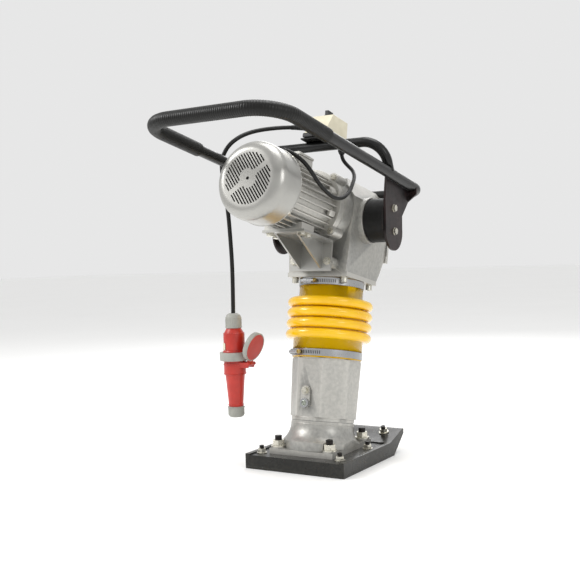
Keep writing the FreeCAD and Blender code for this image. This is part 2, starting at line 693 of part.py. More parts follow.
boss_radius = 36
buffer_seats = [rod(d.buffer_radius + 3, d.boss_reach - 86, side * 86, 0, d.buffer_height, turn)
                for side, turn in ((1, "right"), (-1, "left"))]
posts = [rod(14, d.case_rear + 4 - d.bracket_face, x, d.bracket_face, d.bracket_bolt_height, "forward")
         for x in (-1 * d.bracket_bolt_x, d.bracket_bolt_x)]
case_spots = [(x, y) for x in (-1 * d.case_bolt_x, d.case_bolt_x) for y in (d.case_bolt_rear,
                                                                            d.case_bolt_front)]
bolt, bolt_hole = 5, 5.25
cover_spots = [(x, h) for x in (-82, 82) for h in (crank_height + 12, crank_height + 70, crank_height + 128)]
cover_spots += [(-34, roof - 22), (34, roof - 22), (-58, crank_height - 2), (58, crank_height - 2)]
rim_pads = [rod(9, 26, x, d.case_front - 26, h, "forward") for x, h in cover_spots]
crank_nose = rod(boss_radius + 7, 40, 0, d.case_front - 40, crank_height, "forward")
case_outer = fuse(casting(0), flange_plate, neck, *motor_ears(d.neck_end, 24, 13), *buffer_seats, *posts,
                  *rim_pads,
                  crank_nose)
guide_bore = d.tube_radius + d.slide_gap
case_cuts = [rod(boss_radius + pin_fit, 90, 0, 48, crank_height, "forward"),
             rod(62, 60, z=d.case_low - 20),
             rod(60, 80, 0, d.neck_end - OVER, d.motor_height, "forward")]
case_cuts += [rod(bolt_hole, 40, x, y, d.case_low - 20) for x, y in case_spots]
case_cuts += [rod(bolt_hole, 26, x, d.bracket_face - OVER, d.bracket_bolt_height, "forward")
              for x in (-1 * d.bracket_bolt_x, d.bracket_bolt_x)]
case_cuts += [rod(4.25, 20, x, d.case_front - 18, h, "forward") for x, h in cover_spots]
case_cuts += motor_ears(d.neck_end - OVER, 22, 4.25, ear_reach + 1)
# The bolt pads are put back after the cavity is cut, trimmed to the casting's outer form.
inner_pads = [common(rod(9, 26, x, d.case_front - 26, h, "forward"), casting(0)) for x, h in cover_spots]
hollow_case = fuse(cut(case_outer, casting(d.case_wall)), *inner_pads)
name(cut(hollow_case, *case_cuts), "crankcase")

cover_front = d.case_front + d.cover_thick
cover_plate = put(pad("XZ_Plane", [(-1 * d.case_half_mid + 3, crank_height - 13),
                                   (d.case_half_mid - 3, crank_height - 13),
                                   (d.case_half_mid, roof - 102), (d.case_half_mid, roof - 54),
                                   (66, roof - 30),
                                   (56, roof - 13), (-56, roof - 13), (-66, roof - 30),
                                   (-1 * d.case_half_mid, roof - 54),
                                   (-1 * d.case_half_mid, roof - 102)], d.cover_thick, midplane=False,
                      reverse=True),
                  0, d.case_front, 0)
crank_boss = fuse(rod(38, cover_front + 8 - d.case_front, 0, d.case_front, crank_height, "forward"),
                  rod(boss_radius, d.case_front - 50, 0, 50, crank_height, "forward"),
                  rod(30, 8, 0, cover_front - 1, d.motor_height, "forward"))
bearing_radius = 28
bearing_stop = d.case_front + 6
cover_cuts = [rod(bearing_radius, bearing_stop - 49, 0, 49, crank_height, "forward")]
cover_cuts += [rod(4.25, 40, x, d.case_front - OVER, h, "forward") for x, h in cover_spots]
name(cut(fuse(cover_plate, crank_boss), *cover_cuts), "crankcase_cover")


def hex_bolt(x, y, z, size, shank, turn):
    """Six-sided head with its shank; the seat is at the given place and the shank points along turn."""
    head = hexagon(size * 1.85, size * 1.3, z=size * -1.3)
    washer = rod(size * 2, size * 0.3, z=size * -0.3)
    return put(fuse(head, washer, rod(size, shank)), x, y, z, turn)


case_bolts = [hex_bolt(x, cover_front, h, 4, d.cover_thick + 14, "back") for x, h in cover_spots]
flange_seat = d.neck_end - d.motor_flange_thick
case_bolts += [hex_bolt((ear_reach + 1) * math.cos(math.radians(a)), flange_seat,
                        d.motor_height + (ear_reach + 1) * math.sin(math.radians(a)), 4,
                        d.motor_flange_thick + 16, "forward") for a in ear_angles]
case_bolts += [hex_bolt(x, d.bracket_face - d.bracket_plate, d.bracket_bolt_height, bolt,
                        d.bracket_plate + 20,
                        "forward") for x in (-1 * d.bracket_bolt_x, d.bracket_bolt_x)]
case_bolts += [fuse(cut(rod(8.5, 14, x, y, d.case_low - 14), hexagon(4.6, 8, x, y, d.case_low - 14 - OVER)),
                    rod(bolt, 20, x, y, d.case_low - 2)) for x, y in case_spots]

guide_outer = guide_bore + d.guide_wall
neck_inner = d.neck_high - d.bellows_wall
name(turned([(guide_bore, d.guide_low), (guide_outer, d.guide_low), (guide_outer, d.band_high - 12),
             (neck_inner, d.band_high - 4), (neck_inner, d.case_low), (guide_bore, d.case_low)]),
     "guide_cylinder")
band(d.neck_high, d.band_high, "upper_clamp", -14)

# ---- motor -----------------------------------------------------------------------------------------------------
shell = tube(d.frame_radius, d.frame_bore, d.motor_front - d.motor_rear, 0, d.motor_rear, d.motor_height,
             "forward")
fins = []
for i in range(int(d.fin_count.value)):
    fin = block(d.fin_radius - d.frame_radius + 3, d.fin_thick, d.motor_front - d.motor_rear,
                d.frame_radius - 3, d.fin_thick / -2, 0)
    fins.append(spun(fin, (i + 0.5) * ROUND / d.fin_count.value))
fin_ring = put(fuse(*fins), 0, d.motor_rear, d.motor_height, "forward")
foot_top = d.motor_height - d.frame_radius
plate_top = d.motor_height - d.fin_radius - 2
feet = slab(54, -262, -204, plate_top, foot_top + 6)
cowl_inner = d.cowl_radius - d.cowl_wall
lugs = []
for angle in ear_angles:
    lug = block(cowl_inner - 0.2 - d.frame_radius + 2, 14, 12, d.frame_radius - 2, -7, 0)
    lugs.append(spun(lug, angle))
lug_ring = put(fuse(*lugs), 0, d.motor_rear, d.motor_height, "forward")
frame_body = cut(fuse(shell, fin_ring, feet, lug_ring),
                 rod(d.frame_bore, 400, 0, d.motor_rear - OVER, d.motor_height, "forward"))
name(frame_body, "motor_frame")

ball_outer, ball_inner = 26, d.shaft_radius
front_disc = fuse(rod(d.neck_radius - 1, d.motor_flange_thick, 0, flange_seat, d.motor_height, "forward"),
                  *motor_ears(flange_seat, d.motor_flange_thick, 13))
flange_cuts = [rod(ball_outer, 60, 0, flange_seat - OVER, d.motor_height, "forward")]
flange_cuts += motor_ears(flange_seat - OVER, 40, 4.25, ear_reach + 1)
name(cut(front_disc, *flange_cuts), "motor_flange")
shield_thick = 10
name(tube(d.frame_radius, ball_outer, shield_thick, 0, d.motor_rear - shield_thick, d.motor_height,
          "forward"),
     "rear_shield")
core_low, core_high = -312, -188
stator_bore = d.rotor_radius + d.air_gap
name(tube(d.frame_bore, stator_bore, core_high - core_low, 0, core_low, d.motor_height, "forward"),
     "stator_core")
pinion_bore = 9
shaft_rear, shaft_step = -408, 16
name(turned([(0, shaft_rear), (d.shaft_radius, shaft_rear), (d.shaft_radius, shaft_step),
             (pinion_bore, shaft_step),
             (pinion_bore, d.gear_rear + d.gear_face + 3), (0, d.gear_rear + d.gear_face + 3)],
            0, 0, d.motor_height, "forward"), "rotor_shaft")
name(tube(d.rotor_radius, d.shaft_radius, core_high - core_low, 0, core_low, d.motor_height, "forward"),
     "rotor_core")
fan_rear = -402
blade_count = 8
fan = [tube(20, d.shaft_radius, 26, z=0), tube(d.fan_radius, 19, 3, z=22)]
for i in range(blade_count):
    blade = block(d.fan_radius - 20, 3, 21, 19, -1.5, 2)
    fan.append(spun(blade, i * ROUND / blade_count))
name(put(fuse(*fan), 0, fan_rear, d.motor_height, "forward"), "cooling_fan")


def gear(teeth, bore, phase, height, label):
    """A spur gear with straight-sided teeth and easy backlash; phase turns a tooth to face its mate."""
    module = d.gear_module.value
    pitch_radius = teeth * module / 2
    root, tip = pitch_radius - 1.25 * module, pitch_radius + 0.95 * module
    step = 2 * math.pi / teeth
    corners = []
    for i in range(teeth):
        middle = phase + i * step
        for radius, share in ((root, -0.31), (tip, -0.11), (tip, 0.11), (root, 0.31)):
            corners.append(Vector(radius * math.cos(middle + share * step),
                                  radius * math.sin(middle + share * step)))
    face = Part.Face(Part.makePolygon(corners + corners[:1]))
    solid = face.extrude(Vector(0, 0, d.gear_face.value))
    if bore:
        solid = solid.cut(Part.makeCylinder(bore, d.gear_face.value + 2, Vector(0, 0, -1)))
    obj = doc.addObject("Part::Feature", "Gear")
    obj.Shape = solid
    return put(obj, 0, d.gear_rear, height, "forward")


up_the_leg = math.pi / -2
pinion_teeth, crank_teeth = int(d.pinion_teeth.value), int(d.crank_teeth.value)
name(gear(pinion_teeth, pinion_bore, math.pi / 2 + math.pi / pinion_teeth, d.motor_height, "pinion"),
     "drive_pinion")
crank_wheel = gear(crank_teeth, 0, up_the_leg, crank_height, "crank")
gear_front = d.gear_rear + d.gear_face
name(fuse(crank_wheel, rod(d.crank_shaft, 84, 0, gear_front - 2, crank_height, "forward"),
          rod(22, 8, 0, gear_front - OVER, crank_height, "forward")), "crank_gear")
bearings = [tube(ball_outer, ball_inner, d.bearing_width, 0, low, d.motor_height, "forward")
            for low in (d.motor_rear - shield_thick, flange_seat + 3)]
bearings += [tube(bearing_radius, d.crank_shaft + pin_fit, d.bearing_width, 0, low, crank_height, "forward")
             for low in (gear_front + 9, bearing_stop - d.bearing_width)]
name(together(*bearings), "ball_bearings")


def cowl_shell(shrink, low_extra):
    """Fan cowl form as a solid: flat end, rounded edge, straight side."""
    radius = d.cowl_radius.value - shrink
    edge = d.cowl_round.value - shrink
    rear = d.cowl_face.value + shrink
    front = d.motor_rear.value + d.cowl_lap.value + low_extra
    bend = edge * (1 - math.sqrt(0.5))
    line = [Part.LineSegment(Vector(0, 0, rear), Vector(radius - edge, 0, rear)).toShape(),
            Part.Arc(Vector(radius - edge, 0, rear), Vector(radius - bend, 0, rear + bend),
                     Vector(radius, 0, rear + edge)).toShape(),
            Part.LineSegment(Vector(radius, 0, rear + edge), Vector(radius, 0, front)).toShape(),
            Part.LineSegment(Vector(radius, 0, front), Vector(0, 0, front)).toShape(),
            Part.LineSegment(Vector(0, 0, front), Vector(0, 0, rear)).toShape()]
    obj = doc.addObject("Part::Feature", "Cowl")
    obj.Shape = Part.Face(Part.Wire(line)).revolve(Vector(), Vector(0, 0, 1), ROUND)
    return put(obj, 0, 0, d.motor_height, "forward")


slots = []
slot_field, slot_hub, slot_band, slot_lean = 62, 22, 6, 35
for i in range(-8, 9):
    across = i * d.cowl_slot_pitch.value
    reach = math.sqrt(max(slot_field ** 2 - across ** 2, 0))
    inner = max(slot_band, math.sqrt(max(slot_hub ** 2 - across ** 2, 0)) + 2)
    if reach - inner < 8:
        continue
    for side in (-1, 1):
        start = inner if side > 0 else -reach
        slot = block(d.cowl_slot, reach - inner, 12, across - d.cowl_slot / 2, start, d.cowl_face - 4)
        slots.append(spun(slot, -slot_lean))
slot_tool = put(fuse(*slots, rod(4, 12, z=d.cowl_face - 4)), 0, 0, d.motor_height, "forward")
name(cut(cowl_shell(0, 0), cowl_shell(d.cowl_wall.value, 5), slot_tool), "fan_cowl")

box_wall = 4
lid_top = d.box_top + d.lid_thick
terminal = cut(slab(d.box_half_x, d.box_rear, d.box_front, d.motor_height + 40, d.box_top),
               rod(d.fin_radius + 0.2, 300, 0, -400, d.motor_height, "forward"),
               slab(d.box_half_x - box_wall, d.box_rear + box_wall, d.box_front - box_wall, d.box_top - 7,
                    d.box_top + OVER))
name(terminal, "terminal_box")
name(fuse(slab(d.box_half_x + 2, d.box_rear - 2, d.box_front + 2, d.box_top, lid_top - 4),
          slab(d.box_half_x - 4, d.box_rear + 4, d.box_front - 4, lid_top - 5, lid_top)), "terminal_lid")


def gland(length, radius, hole, x, y, z, turn):
    """Cable gland: a six-sided body and a domed nut round the cable."""
    nut = turned([(hole, 5), (radius * 0.95, 5), (radius * 0.95, length * 0.6), (radius * 0.62, length),
                  (hole, length)])
    seat = cut(hexagon(radius, 6), rod(hole, 12, z=-2))
    return put(fuse(seat, nut), x, y, z, turn)


lead_fit = d.lead_diameter / 2
lead_exit = (14, d.box_rear, 703)
lead_room = 0.25
name(gland(26, 9, lead_fit + lead_room, lead_exit[0], d.box_rear - 2, lead_exit[2], "back"), "terminal_gland")

top_plate = slab(d.bracket_half, d.bracket_rear, d.bracket_face, plate_top - d.bracket_plate, plate_top)
upright = slab(d.bracket_half, d.bracket_face - d.bracket_plate, d.bracket_face, d.bracket_low, plate_top)
web_corners = [(d.bracket_face - 2, d.bracket_low + 4), (d.bracket_face - 2, plate_top - 2),
               (d.bracket_rear + 8, plate_top - 2)]
webs = [put(pad("YZ_Plane", web_corners, 5), x, 0, 0) for x in (-31, 31)]
foot_spots = [(x, y) for x in (-45, 45) for y in (-248, -218)]
bracket_cuts = [rod(d.neck_radius + 0.3, 60, 0, d.neck_end - 24, d.motor_height, "forward")]
bracket_cuts += [rod(bolt_hole, 20, x, y, plate_top - 12) for x, y in foot_spots]
bracket_cuts += [rod(bolt_hole, 40, x, -140, d.bracket_bolt_height, "forward")
                 for x in (-1 * d.bracket_bolt_x, d.bracket_bolt_x)]
name(cut(fuse(top_plate, upright, *webs), *bracket_cuts), "motor_bracket")
case_bolts += [hex_bolt(x, y, plate_top - d.bracket_plate, bolt, d.bracket_plate, "up")
               for x, y in foot_spots]
name(together(*case_bolts), "case_bolts")

# ---- buffers ---------------------------------------------------------------------------------------------------
for side, turn, label in ((1, "right", "right_buffer"), (-1, "left", "left_buffer")):
    long = d.buffer_outer - d.buffer_inner
    name(turned([(0, 0), (d.buffer_radius - 2, 0), (d.buffer_radius, 2), (d.buffer_radius, long - 2),
                 (d.buffer_radius - 2, long), (0, long)], side * d.buffer_inner, 0, d.buffer_height, turn),
         label)

# ---- handle ----------------------------------------------------------------------------------------------------


def bent_path(points, bends, closed=False):
    """A wire of straight runs joined by tangent arcs; bends gives each corner's radius."""
    count = len(points)
    corners = range(count) if closed else range(1, count - 1)
    cuts = {}
    for i in corners:
        before, here, after = points[i - 1], points[i], points[(i + 1) % count]
        a, b = (before - here).normalize(), (after - here).normalize()
        turn = math.pi - a.getAngle(b)
        reach = bends[i] * math.tan(turn / 2)
        start, end = here + a * reach, here + b * reach
        middle = here + (a + b).normalize() * (bends[i] / math.cos(turn / 2) - bends[i])
        cuts[i] = (start, middle, end)
    edges = []
    last = cuts[count - 1][2] if closed else points[0]
    for i in range(count):
        if i in cuts:
            start, middle, end = cuts[i]
            if (start - last).Length > 1e-4:
                edges.append(Part.LineSegment(last, start).toShape())
            edges.append(Part.Arc(start, middle, end).toShape())
            last = end
        elif i > 0:
            edges.append(Part.LineSegment(last, points[i]).toShape())
    return Part.Wire(edges)


def swept(path, radius, closed=False):
    """A round solid along a wire."""
    edge = path.OrderedEdges[0]
    start = edge.valueAt(edge.FirstParameter)
    along = edge.tangentAt(edge.FirstParameter)
    ring = Part.Wire(Part.makeCircle(radius, start, along))
    solid = path.makePipeShell([ring], True, False)
    obj = doc.addObject("Part::Feature", "Tube")
    obj.Shape = solid
    return obj


rail, level = d.rail_x.value, d.rail_height.value
rear_bar, front_bar = d.handle_rear.value, d.handle_front.value
start_w = (rear_bar + front_bar) / 2
loop_points = [Vector(rail, start_w, level), Vector(rail, front_bar, level), Vector(-rail, front_bar, level),
               Vector(-rail, rear_bar, level), Vector(rail, rear_bar, level), Vector(rail, start_w, level)]
loop_bends = [0, d.front_bend.value, d.front_bend.value, d.handle_bend.value, d.handle_bend.value, 0]
loop_path = bent_path(loop_points, loop_bends)
pipe_wall = 3
outer_loop = swept(loop_path, d.tube_half.value)
inner_loop = swept(loop_path, d.tube_half.value - pipe_wall)
name(cut(outer_loop, inner_loop), "handle_frame")

hoop_w, hoop_level = d.hoop_foot.value + d.hoop_lean.value, d.hoop_top.value
hoop_points = [Vector(rail, d.hoop_foot.value, level), Vector(rail, hoop_w, hoop_level),
               Vector(-rail, hoop_w, hoop_level), Vector(-rail, d.hoop_foot.value, level)]
hoop_path = bent_path(hoop_points, [0, d.hoop_bend.value, d.hoop_bend.value, 0])
name(cut(swept(hoop_path, d.hoop_radius.value),
         *[rod(d.tube_half, 300, side * d.rail_x, d.hoop_foot - 150, d.rail_height, "forward")
           for side in (-1, 1)]), "guard_hoop")

grip_end = d.grip_end.value
grip_points = [Vector(rail, grip_end, level), Vector(rail, rear_bar, level), Vector(-rail, rear_bar, level),
               Vector(-rail, grip_end, level)]
grip_path = bent_path(grip_points, [0, d.handle_bend.value, d.handle_bend.value, 0])
name(cut(swept(grip_path, d.tube_half.value + d.grip_thick.value), swept(grip_path, d.tube_half.value)),
     "handle_grip")

plate_inner = d.buffer_outer + 0.3
plate_outer = plate_inner + d.plate_thick
half_gap = d.buffer_bolt_gap / 2
lean = math.radians(d.leg_lean.value)
bolt_places = [(side * half_gap * -math.sin(lean), d.buffer_height + side * half_gap * math.cos(lean))
               for side in (-1, 1)]
plate_low = bolt_places[0]


def bracket(side, label):
    """Plate from the buffer up to the rail, with a gusset folded outwards under the rail."""
    strap = pad("YZ_Plane", [(plate_low[0] - d.plate_half, plate_low[1]),
                             (plate_low[0] + d.plate_half, plate_low[1]),
                             (48, 618), (84, 668), (84, d.rail_height - 4), (-58, d.rail_height - 4),
                             (-58, 640)],
                d.plate_thick)
    strap = put(strap, side * (plate_inner + d.plate_thick / 2), 0, 0)
    low_x = plate_inner if side > 0 else -1 * plate_outer
    foot = rod(d.plate_half, d.plate_thick, low_x, plate_low[0], plate_low[1], "right")
    fold = doc.addObject("Part::Feature", "Fold")
    edge = float(plate_outer) - 1
    reach = rail + d.tube_half.value - edge
    tri = Part.makePolygon([Vector(side * edge, 79, 664), Vector(side * edge, 79, level - 4),
                            Vector(side * (edge + reach), 79, level - 4),
                            Vector(side * (edge + reach), 79, level - 22), Vector(side * edge, 79, 664)])
    fold.Shape = Part.Face(tri).extrude(Vector(0, 5, 0))
    tools = [rod(d.tube_half, 700, side * d.rail_x, -300, d.rail_height, "forward")]
    tools += [rod(bolt_hole, 20, low_x - OVER, y, h, "right") for y, h in bolt_places]
    name(cut(fuse(strap, foot, fold), *tools), label)


bracket(1, "right_bracket")
bracket(-1, "left_bracket")
name(together(*[hex_bolt(side * plate_outer, y, h, bolt, d.plate_thick, turn) for y, h in bolt_places
                for side, turn in ((1, "left"), (-1, "right"))]), "buffer_bolts")

# ---- switch ----------------------------------------------------------------------------------------------------
plate_base = d.hoop_top + d.hoop_radius
mount_top = plate_base + d.switch_plate_thick
name(slab(d.switch_half + 12, d.switch_rear + 4, -50, plate_base, mount_top), "switch_plate")
name(cut(slab(d.switch_half + 3, d.switch_rear - 2, d.switch_front + 2, mount_top, d.switch_low),
         slab(d.switch_half - 6, d.switch_rear + 8, d.switch_front - 8, mount_top + 4, d.switch_low + OVER)),
     "switch_base")
skin = 3
outer_box = pad("YZ_Plane", [(d.switch_rear, d.switch_low), (d.switch_front, d.switch_low),
                             (d.switch_front, d.switch_high), (d.switch_crown, d.switch_high)],
                d.switch_half * 2)
inner_box = pad("YZ_Plane", [(d.switch_rear + skin * 1.6, d.switch_low - OVER),
                             (d.switch_front - skin, d.switch_low - OVER),
                             (d.switch_front - skin, d.switch_high - skin),
                             (d.switch_crown + skin * 0.6, d.switch_high - skin)],
                d.switch_half * 2 - 2 * skin)
knob_w = -76
name(cut(outer_box, inner_box, rod(5.3, 10, 0, knob_w, d.switch_high - 6)), "switch_box")
knob_gap = 0.5
name(fuse(rod(5, 14, 0, knob_w, d.switch_high - 12),
          rod(d.knob_radius, 7, 0, knob_w, d.switch_high + knob_gap),
          slab(5, knob_w - d.knob_radius + 1, knob_w + d.knob_radius - 1, d.switch_high + knob_gap + 6,
               d.switch_high + d.knob_height)), "switch_knob")
cord_fit = d.cord_diameter / 2
name(together(gland(22, 12, cord_fit, -1 * d.switch_half, -112, 835, "left"),
              gland(20, 11, lead_fit, 24, -36, mount_top, "down")), "box_glands")

# ---- cords -----------------------------------------------------------------------------------------------------


def cord(route, diameter, label, frame):
    """A cord's tube along chosen points: each arc is as large as the two runs beside it allow."""
    points = [Vector(*spot) for spot in route]
    bends = [0.0] * len(points)
    for i in range(1, len(points) - 1):
        into, out = points[i] - points[i - 1], points[i + 1] - points[i]
        turn = into.getAngle(out)
        bends[i] = 0.45 * min(into.Length, out.Length) / math.tan(turn / 2)
    path = bent_path(points, bends)
    tube_body = swept(path, diameter / 2)
    print(label, "length", round(path.Length), "radii", [round(b) for b in bends[1:-1]])
    return name(tube_body, label, frame)


# Out of the switch box to the left, over the left rail, and straight down to the plug (row frame).
supply_route = [(-53, 51.3, 878.9), (-76, 48, 881), (-102, 33, 882), (-125, 6, 879), (-144, -26, 873),
                (-159, -57, 864), (-173, -86, 850), (-190, -108, 828), (-205, -116, 796), (-210, -109, 756),
                (-209, -98, 706), (-207.5, -90, 650), (-207, -86, 592), (-206, -83, 530),
                (-206.4, -82.5, 462),
                (-207, -84, 393)]
cord(supply_route, d.cord_diameter.value, "supply_cord", GROUND)

# From the switch box down round the right side of the motor and back to its terminal box (leg frame).
lead_route = [(24, -36, 776), (26, -34, 763), (38, -28, 748), (56, -27, 732), (74, -48, 709), (89, -82, 681),
              (101, -120, 648), (109, -160, 623), (110, -194, 611), (107, -222, 611), (103, -251, 620),
              (99, -278, 633), (95, -299, 650), (87, -317, 667), (73, -332, 682), (54, -340, 694),
              (34, -338, 701), (19, -324, 703.5), (14, -304, 703)]
cord(lead_route, d.lead_diameter.value, "motor_lead", LEG)

# ---- plug and connector, hanging plumb (row frame) -----------------------------------------------------------
px, py = d.plug_x, d.plug_y


def hanging(corners):
    return turned(corners, px, py, 0)


plug_room = 0.3
name(hanging([(0, d.plug_nut_low), (d.nut_round, d.plug_nut_low), (d.nut_round, d.plug_top - 12),
              (d.nut_round - 3, d.plug_top - 4), (d.nut_round - 9, d.plug_top), (0, d.plug_top)]),
     "plug_gland_nut", GROUND)
shroud = 30
mouth = d.ring_low - 3
plug_shell = hanging([(0, d.ring_high - 3), (shroud - 3, d.ring_high - 3), (shroud - 3, mouth),
                      (shroud, mouth),
                      (shroud, d.ring_high + 2), (d.plug_radius, d.ring_high + 5),
                      (d.plug_radius, d.plug_nut_low - 16), (d.nut_round - 2, d.plug_nut_low),
                      (0, d.plug_nut_low)])
pin_circle, pin_size, pin_end = 15, 3, d.ring_high - 38
pin_spots = [(px + pin_circle * math.cos(math.radians(90 + 72 * i)),
              py + pin_circle * math.sin(math.radians(90 + 72 * i)))
             for i in range(5)]
pins = [rod(pin_size, d.ring_high - pin_end, x, y, pin_end) for x, y in pin_spots]
name(fuse(plug_shell, *pins), "plug_body", GROUND)
name(hanging([(shroud + plug_room, d.ring_low), (d.ring_radius, d.ring_low), (d.ring_radius, d.ring_high),
              (shroud + plug_room, d.ring_high)]), "bayonet_ring", GROUND)
nose = shroud - 3 - plug_room
collar_round = d.collar_radius_out - 2
connector = hanging([(0, d.connector_end), (d.connector_taper, d.connector_end),
                     (d.connector_radius - 2, d.collar_end - 20),
                     (d.connector_radius, d.collar_end), (collar_round, d.collar_end),
                     (collar_round, mouth - 3),
                     (nose, mouth - 3), (nose, d.ring_high - 5), (0, d.ring_high - 5)])
hinge_x, hinge_z = 51, 261
ears = [block(hinge_x - 22, 6, 14, px + 22, py + y, hinge_z - 10) for y in (-16, 10)]
knuckle, hinge_pin, hinge_gap = 5, 2, 0.2
ears += [rod(knuckle, 6, px + hinge_x, py + y, hinge_z, "forward") for y in (-16, 10)]
ears.append(rod(hinge_pin, 32, px + hinge_x, py - 16, hinge_z, "forward"))
sockets = [rod(pin_size + 0.3, 60, x, y, pin_end - 3) for x, y in pin_spots]
name(cut(fuse(connector, *ears), *sockets), "connector_body", GROUND)
name(hanging([(0, d.connector_nut_end), (d.nut_round - 4, d.connector_nut_end),
              (d.nut_round, d.connector_nut_end + 5),
              (d.nut_round, d.connector_end), (0, d.connector_end)]), "connector_nut", GROUND)
lid_lean, lid_radius, lid_depth = 20, 38, 12
lid_shell = turned([(0, 0), (lid_radius, 0), (lid_radius, -lid_depth), (lid_radius - 4, -lid_depth),
                    (lid_radius - 4, -3), (0, -3)])
lid_reach = lid_radius + 8
lid_arm = fuse(block(lid_reach - lid_radius + 2, 18, 8, lid_radius - 2, -9, -8),
               rod(knuckle, 18, lid_reach, -9, 0, "forward"))
lid_hole = rod(hinge_pin + hinge_gap, 30, lid_reach, -15, 0, "forward")
tilt = Rotation(Vector(0, 1, 0), 90 + lid_lean)
lid_holder = cut(fuse(lid_shell, lid_arm), lid_hole)
lid_holder.Placement = Placement(
    Vector(float(px) + hinge_x + lid_reach * math.sin(math.radians(lid_lean)), float(py),
           hinge_z + lid_reach * math.cos(math.radians(lid_lean))), tilt)
name(lid_holder, "connector_lid", GROUND)

doc.recompute()
for obj in doc.Objects:
    if "Invalid" in obj.State or "Error" in obj.State:
        raise RuntimeError("%s (%s) failed: %s" % (obj.Name, obj.Label, obj.State))
os.makedirs("parts", exist_ok=True)
for obj in pieces:
    if obj.Shape.isNull() or not obj.Shape.isValid() or not obj.Shape.Solids:
        raise RuntimeError(obj.Label + " has no valid shape")
for obj in pieces:
    obj.Shape.exportStep(os.path.join("parts", obj.Label + ".step"))
    print(obj.Label, len(obj.Shape.Solids), round(obj.Shape.Volume / 1000, 1))
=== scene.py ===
import json
import math

import bpy
from mathutils import Matrix, Vector

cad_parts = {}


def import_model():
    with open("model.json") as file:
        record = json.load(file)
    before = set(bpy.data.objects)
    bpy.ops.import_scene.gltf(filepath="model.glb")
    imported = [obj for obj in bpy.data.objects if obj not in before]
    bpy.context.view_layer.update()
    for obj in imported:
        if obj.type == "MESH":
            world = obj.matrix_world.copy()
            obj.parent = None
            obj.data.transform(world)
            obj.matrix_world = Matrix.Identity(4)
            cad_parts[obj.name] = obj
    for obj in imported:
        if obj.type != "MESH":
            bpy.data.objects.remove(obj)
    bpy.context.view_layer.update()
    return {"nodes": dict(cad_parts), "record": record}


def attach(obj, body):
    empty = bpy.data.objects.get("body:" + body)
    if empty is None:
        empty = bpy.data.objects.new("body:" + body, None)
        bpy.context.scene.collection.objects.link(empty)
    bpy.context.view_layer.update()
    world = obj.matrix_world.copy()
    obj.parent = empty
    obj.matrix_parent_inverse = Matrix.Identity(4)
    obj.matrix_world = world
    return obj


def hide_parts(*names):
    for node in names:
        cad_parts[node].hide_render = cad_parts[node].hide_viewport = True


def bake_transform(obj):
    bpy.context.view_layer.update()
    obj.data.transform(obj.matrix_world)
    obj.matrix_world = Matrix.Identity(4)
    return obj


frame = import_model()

bl_info = {
    "name": "Tamping Rammer",
    "version": (1, 0, 0),
    "blender": (4, 5, 0),
    "location": "View3D > Sidebar > Rammer",
    "description": "Dresses the electric tamping rammer's frame with finished surfaces and small fittings",
    "category": "Object",
}

# ---- places ------------------------------------------------------
# Everything above the shoe is square to the leaning leg, so places on it are given in the leg's own frame:
# across (the machine's right), ahead (forward and square to the leg) and up (along the leg from the shoe's
# top). The frame itself is in metres.
LEAN = math.radians(11.2)
LEG_FOOT = Vector((0, -0.001, 0.038))
ACROSS = Vector((1, 0, 0))
AHEAD = Vector((0, math.cos(LEAN), -math.sin(LEAN)))
UP_LEG = Vector((0, math.sin(LEAN), math.cos(LEAN)))
LEG_AXES = Matrix((ACROSS, AHEAD, UP_LEG)).transposed()
LEG = Matrix.Translation(LEG_FOOT) @ LEG_AXES.to_4x4()
EAST, NORTH, UPRIGHT = Vector((1, 0, 0)), Vector((0, 1, 0)), Vector((0, 0, 1))

# Millimetres in the leg's frame.
MOTOR_UP = 611                  # the motor's axis
COWL_MOUTH = -344               # the cowl's open end, ahead
RAIL_OUT, RAIL_UP = 181, 706    # the middle of each side rail
REAR_BAR, GRIP_END = -606, -390
COVER_FACE = 126                # where the front cover meets the case
BUFFER_UP = 598                 # the middle of the rubber buffers
KNOB_AHEAD = -76                # the switch knob's axis
MIDDLE_GROOVE = 332             # the bellows between its second and third roll
LOWER_BAND_TOP = 254            # where the bellows leaves the lower clamp
UPPER_BAND_FOOT = 415           # where it enters the upper clamp


def on_leg(across, ahead, up):
    """A place in the leg's frame, in millimetres, as a world point."""
    return LEG @ Vector((across / 1000, ahead / 1000, up / 1000))


def spoke(degrees, first, second):
    """Directions out from an axis and along its rim, at an angle from the first towards the second."""
    angle = math.radians(degrees)
    out = first * math.cos(angle) + second * math.sin(angle)
    return out, second * math.cos(angle) - first * math.sin(angle)


def world(points):
    """Points in millimetres as world points in metres."""
    return [Vector(point) / 1000 for point in points]


# ---- materials ---------------------------------------------------


def colour(code):
    """An sRGB hex colour as linear red, green, blue and alpha."""
    values = [int(code[i:i + 2], 16) / 255 for i in (1, 3, 5)]
    return [v / 12.92 if v <= 0.04045 else ((v + 0.055) / 1.055) ** 2.4 for v in values] + [1.0]


def add_node(tree, kind, settings=(), links=(), inputs=()):
    """Add one node; settings are its properties, inputs its socket values and links its incoming sockets."""
    made = tree.nodes.new(kind)
    for key, value in dict(settings).items():
        setattr(made, key, value)
    for key, value in dict(inputs).items():
        made.inputs[key].default_value = value
    for key, source in dict(links).items():
        tree.links.new(source, made.inputs[key])
    return made


def new_material(title, code, metallic, roughness, **sockets):
    """A material with its shader's plain numbers set on the shader itself."""
    made = bpy.data.materials.new(title)
    made.use_nodes = True
    shader = made.node_tree.nodes["Principled BSDF"]
    shader.inputs["Base Color"].default_value = colour(code)
    shader.inputs["Metallic"].default_value = metallic
    shader.inputs["Roughness"].default_value = roughness
    for key, value in sockets.items():
        shader.inputs[key.replace("_", " ")].default_value = value
    return made, made.node_tree, shader


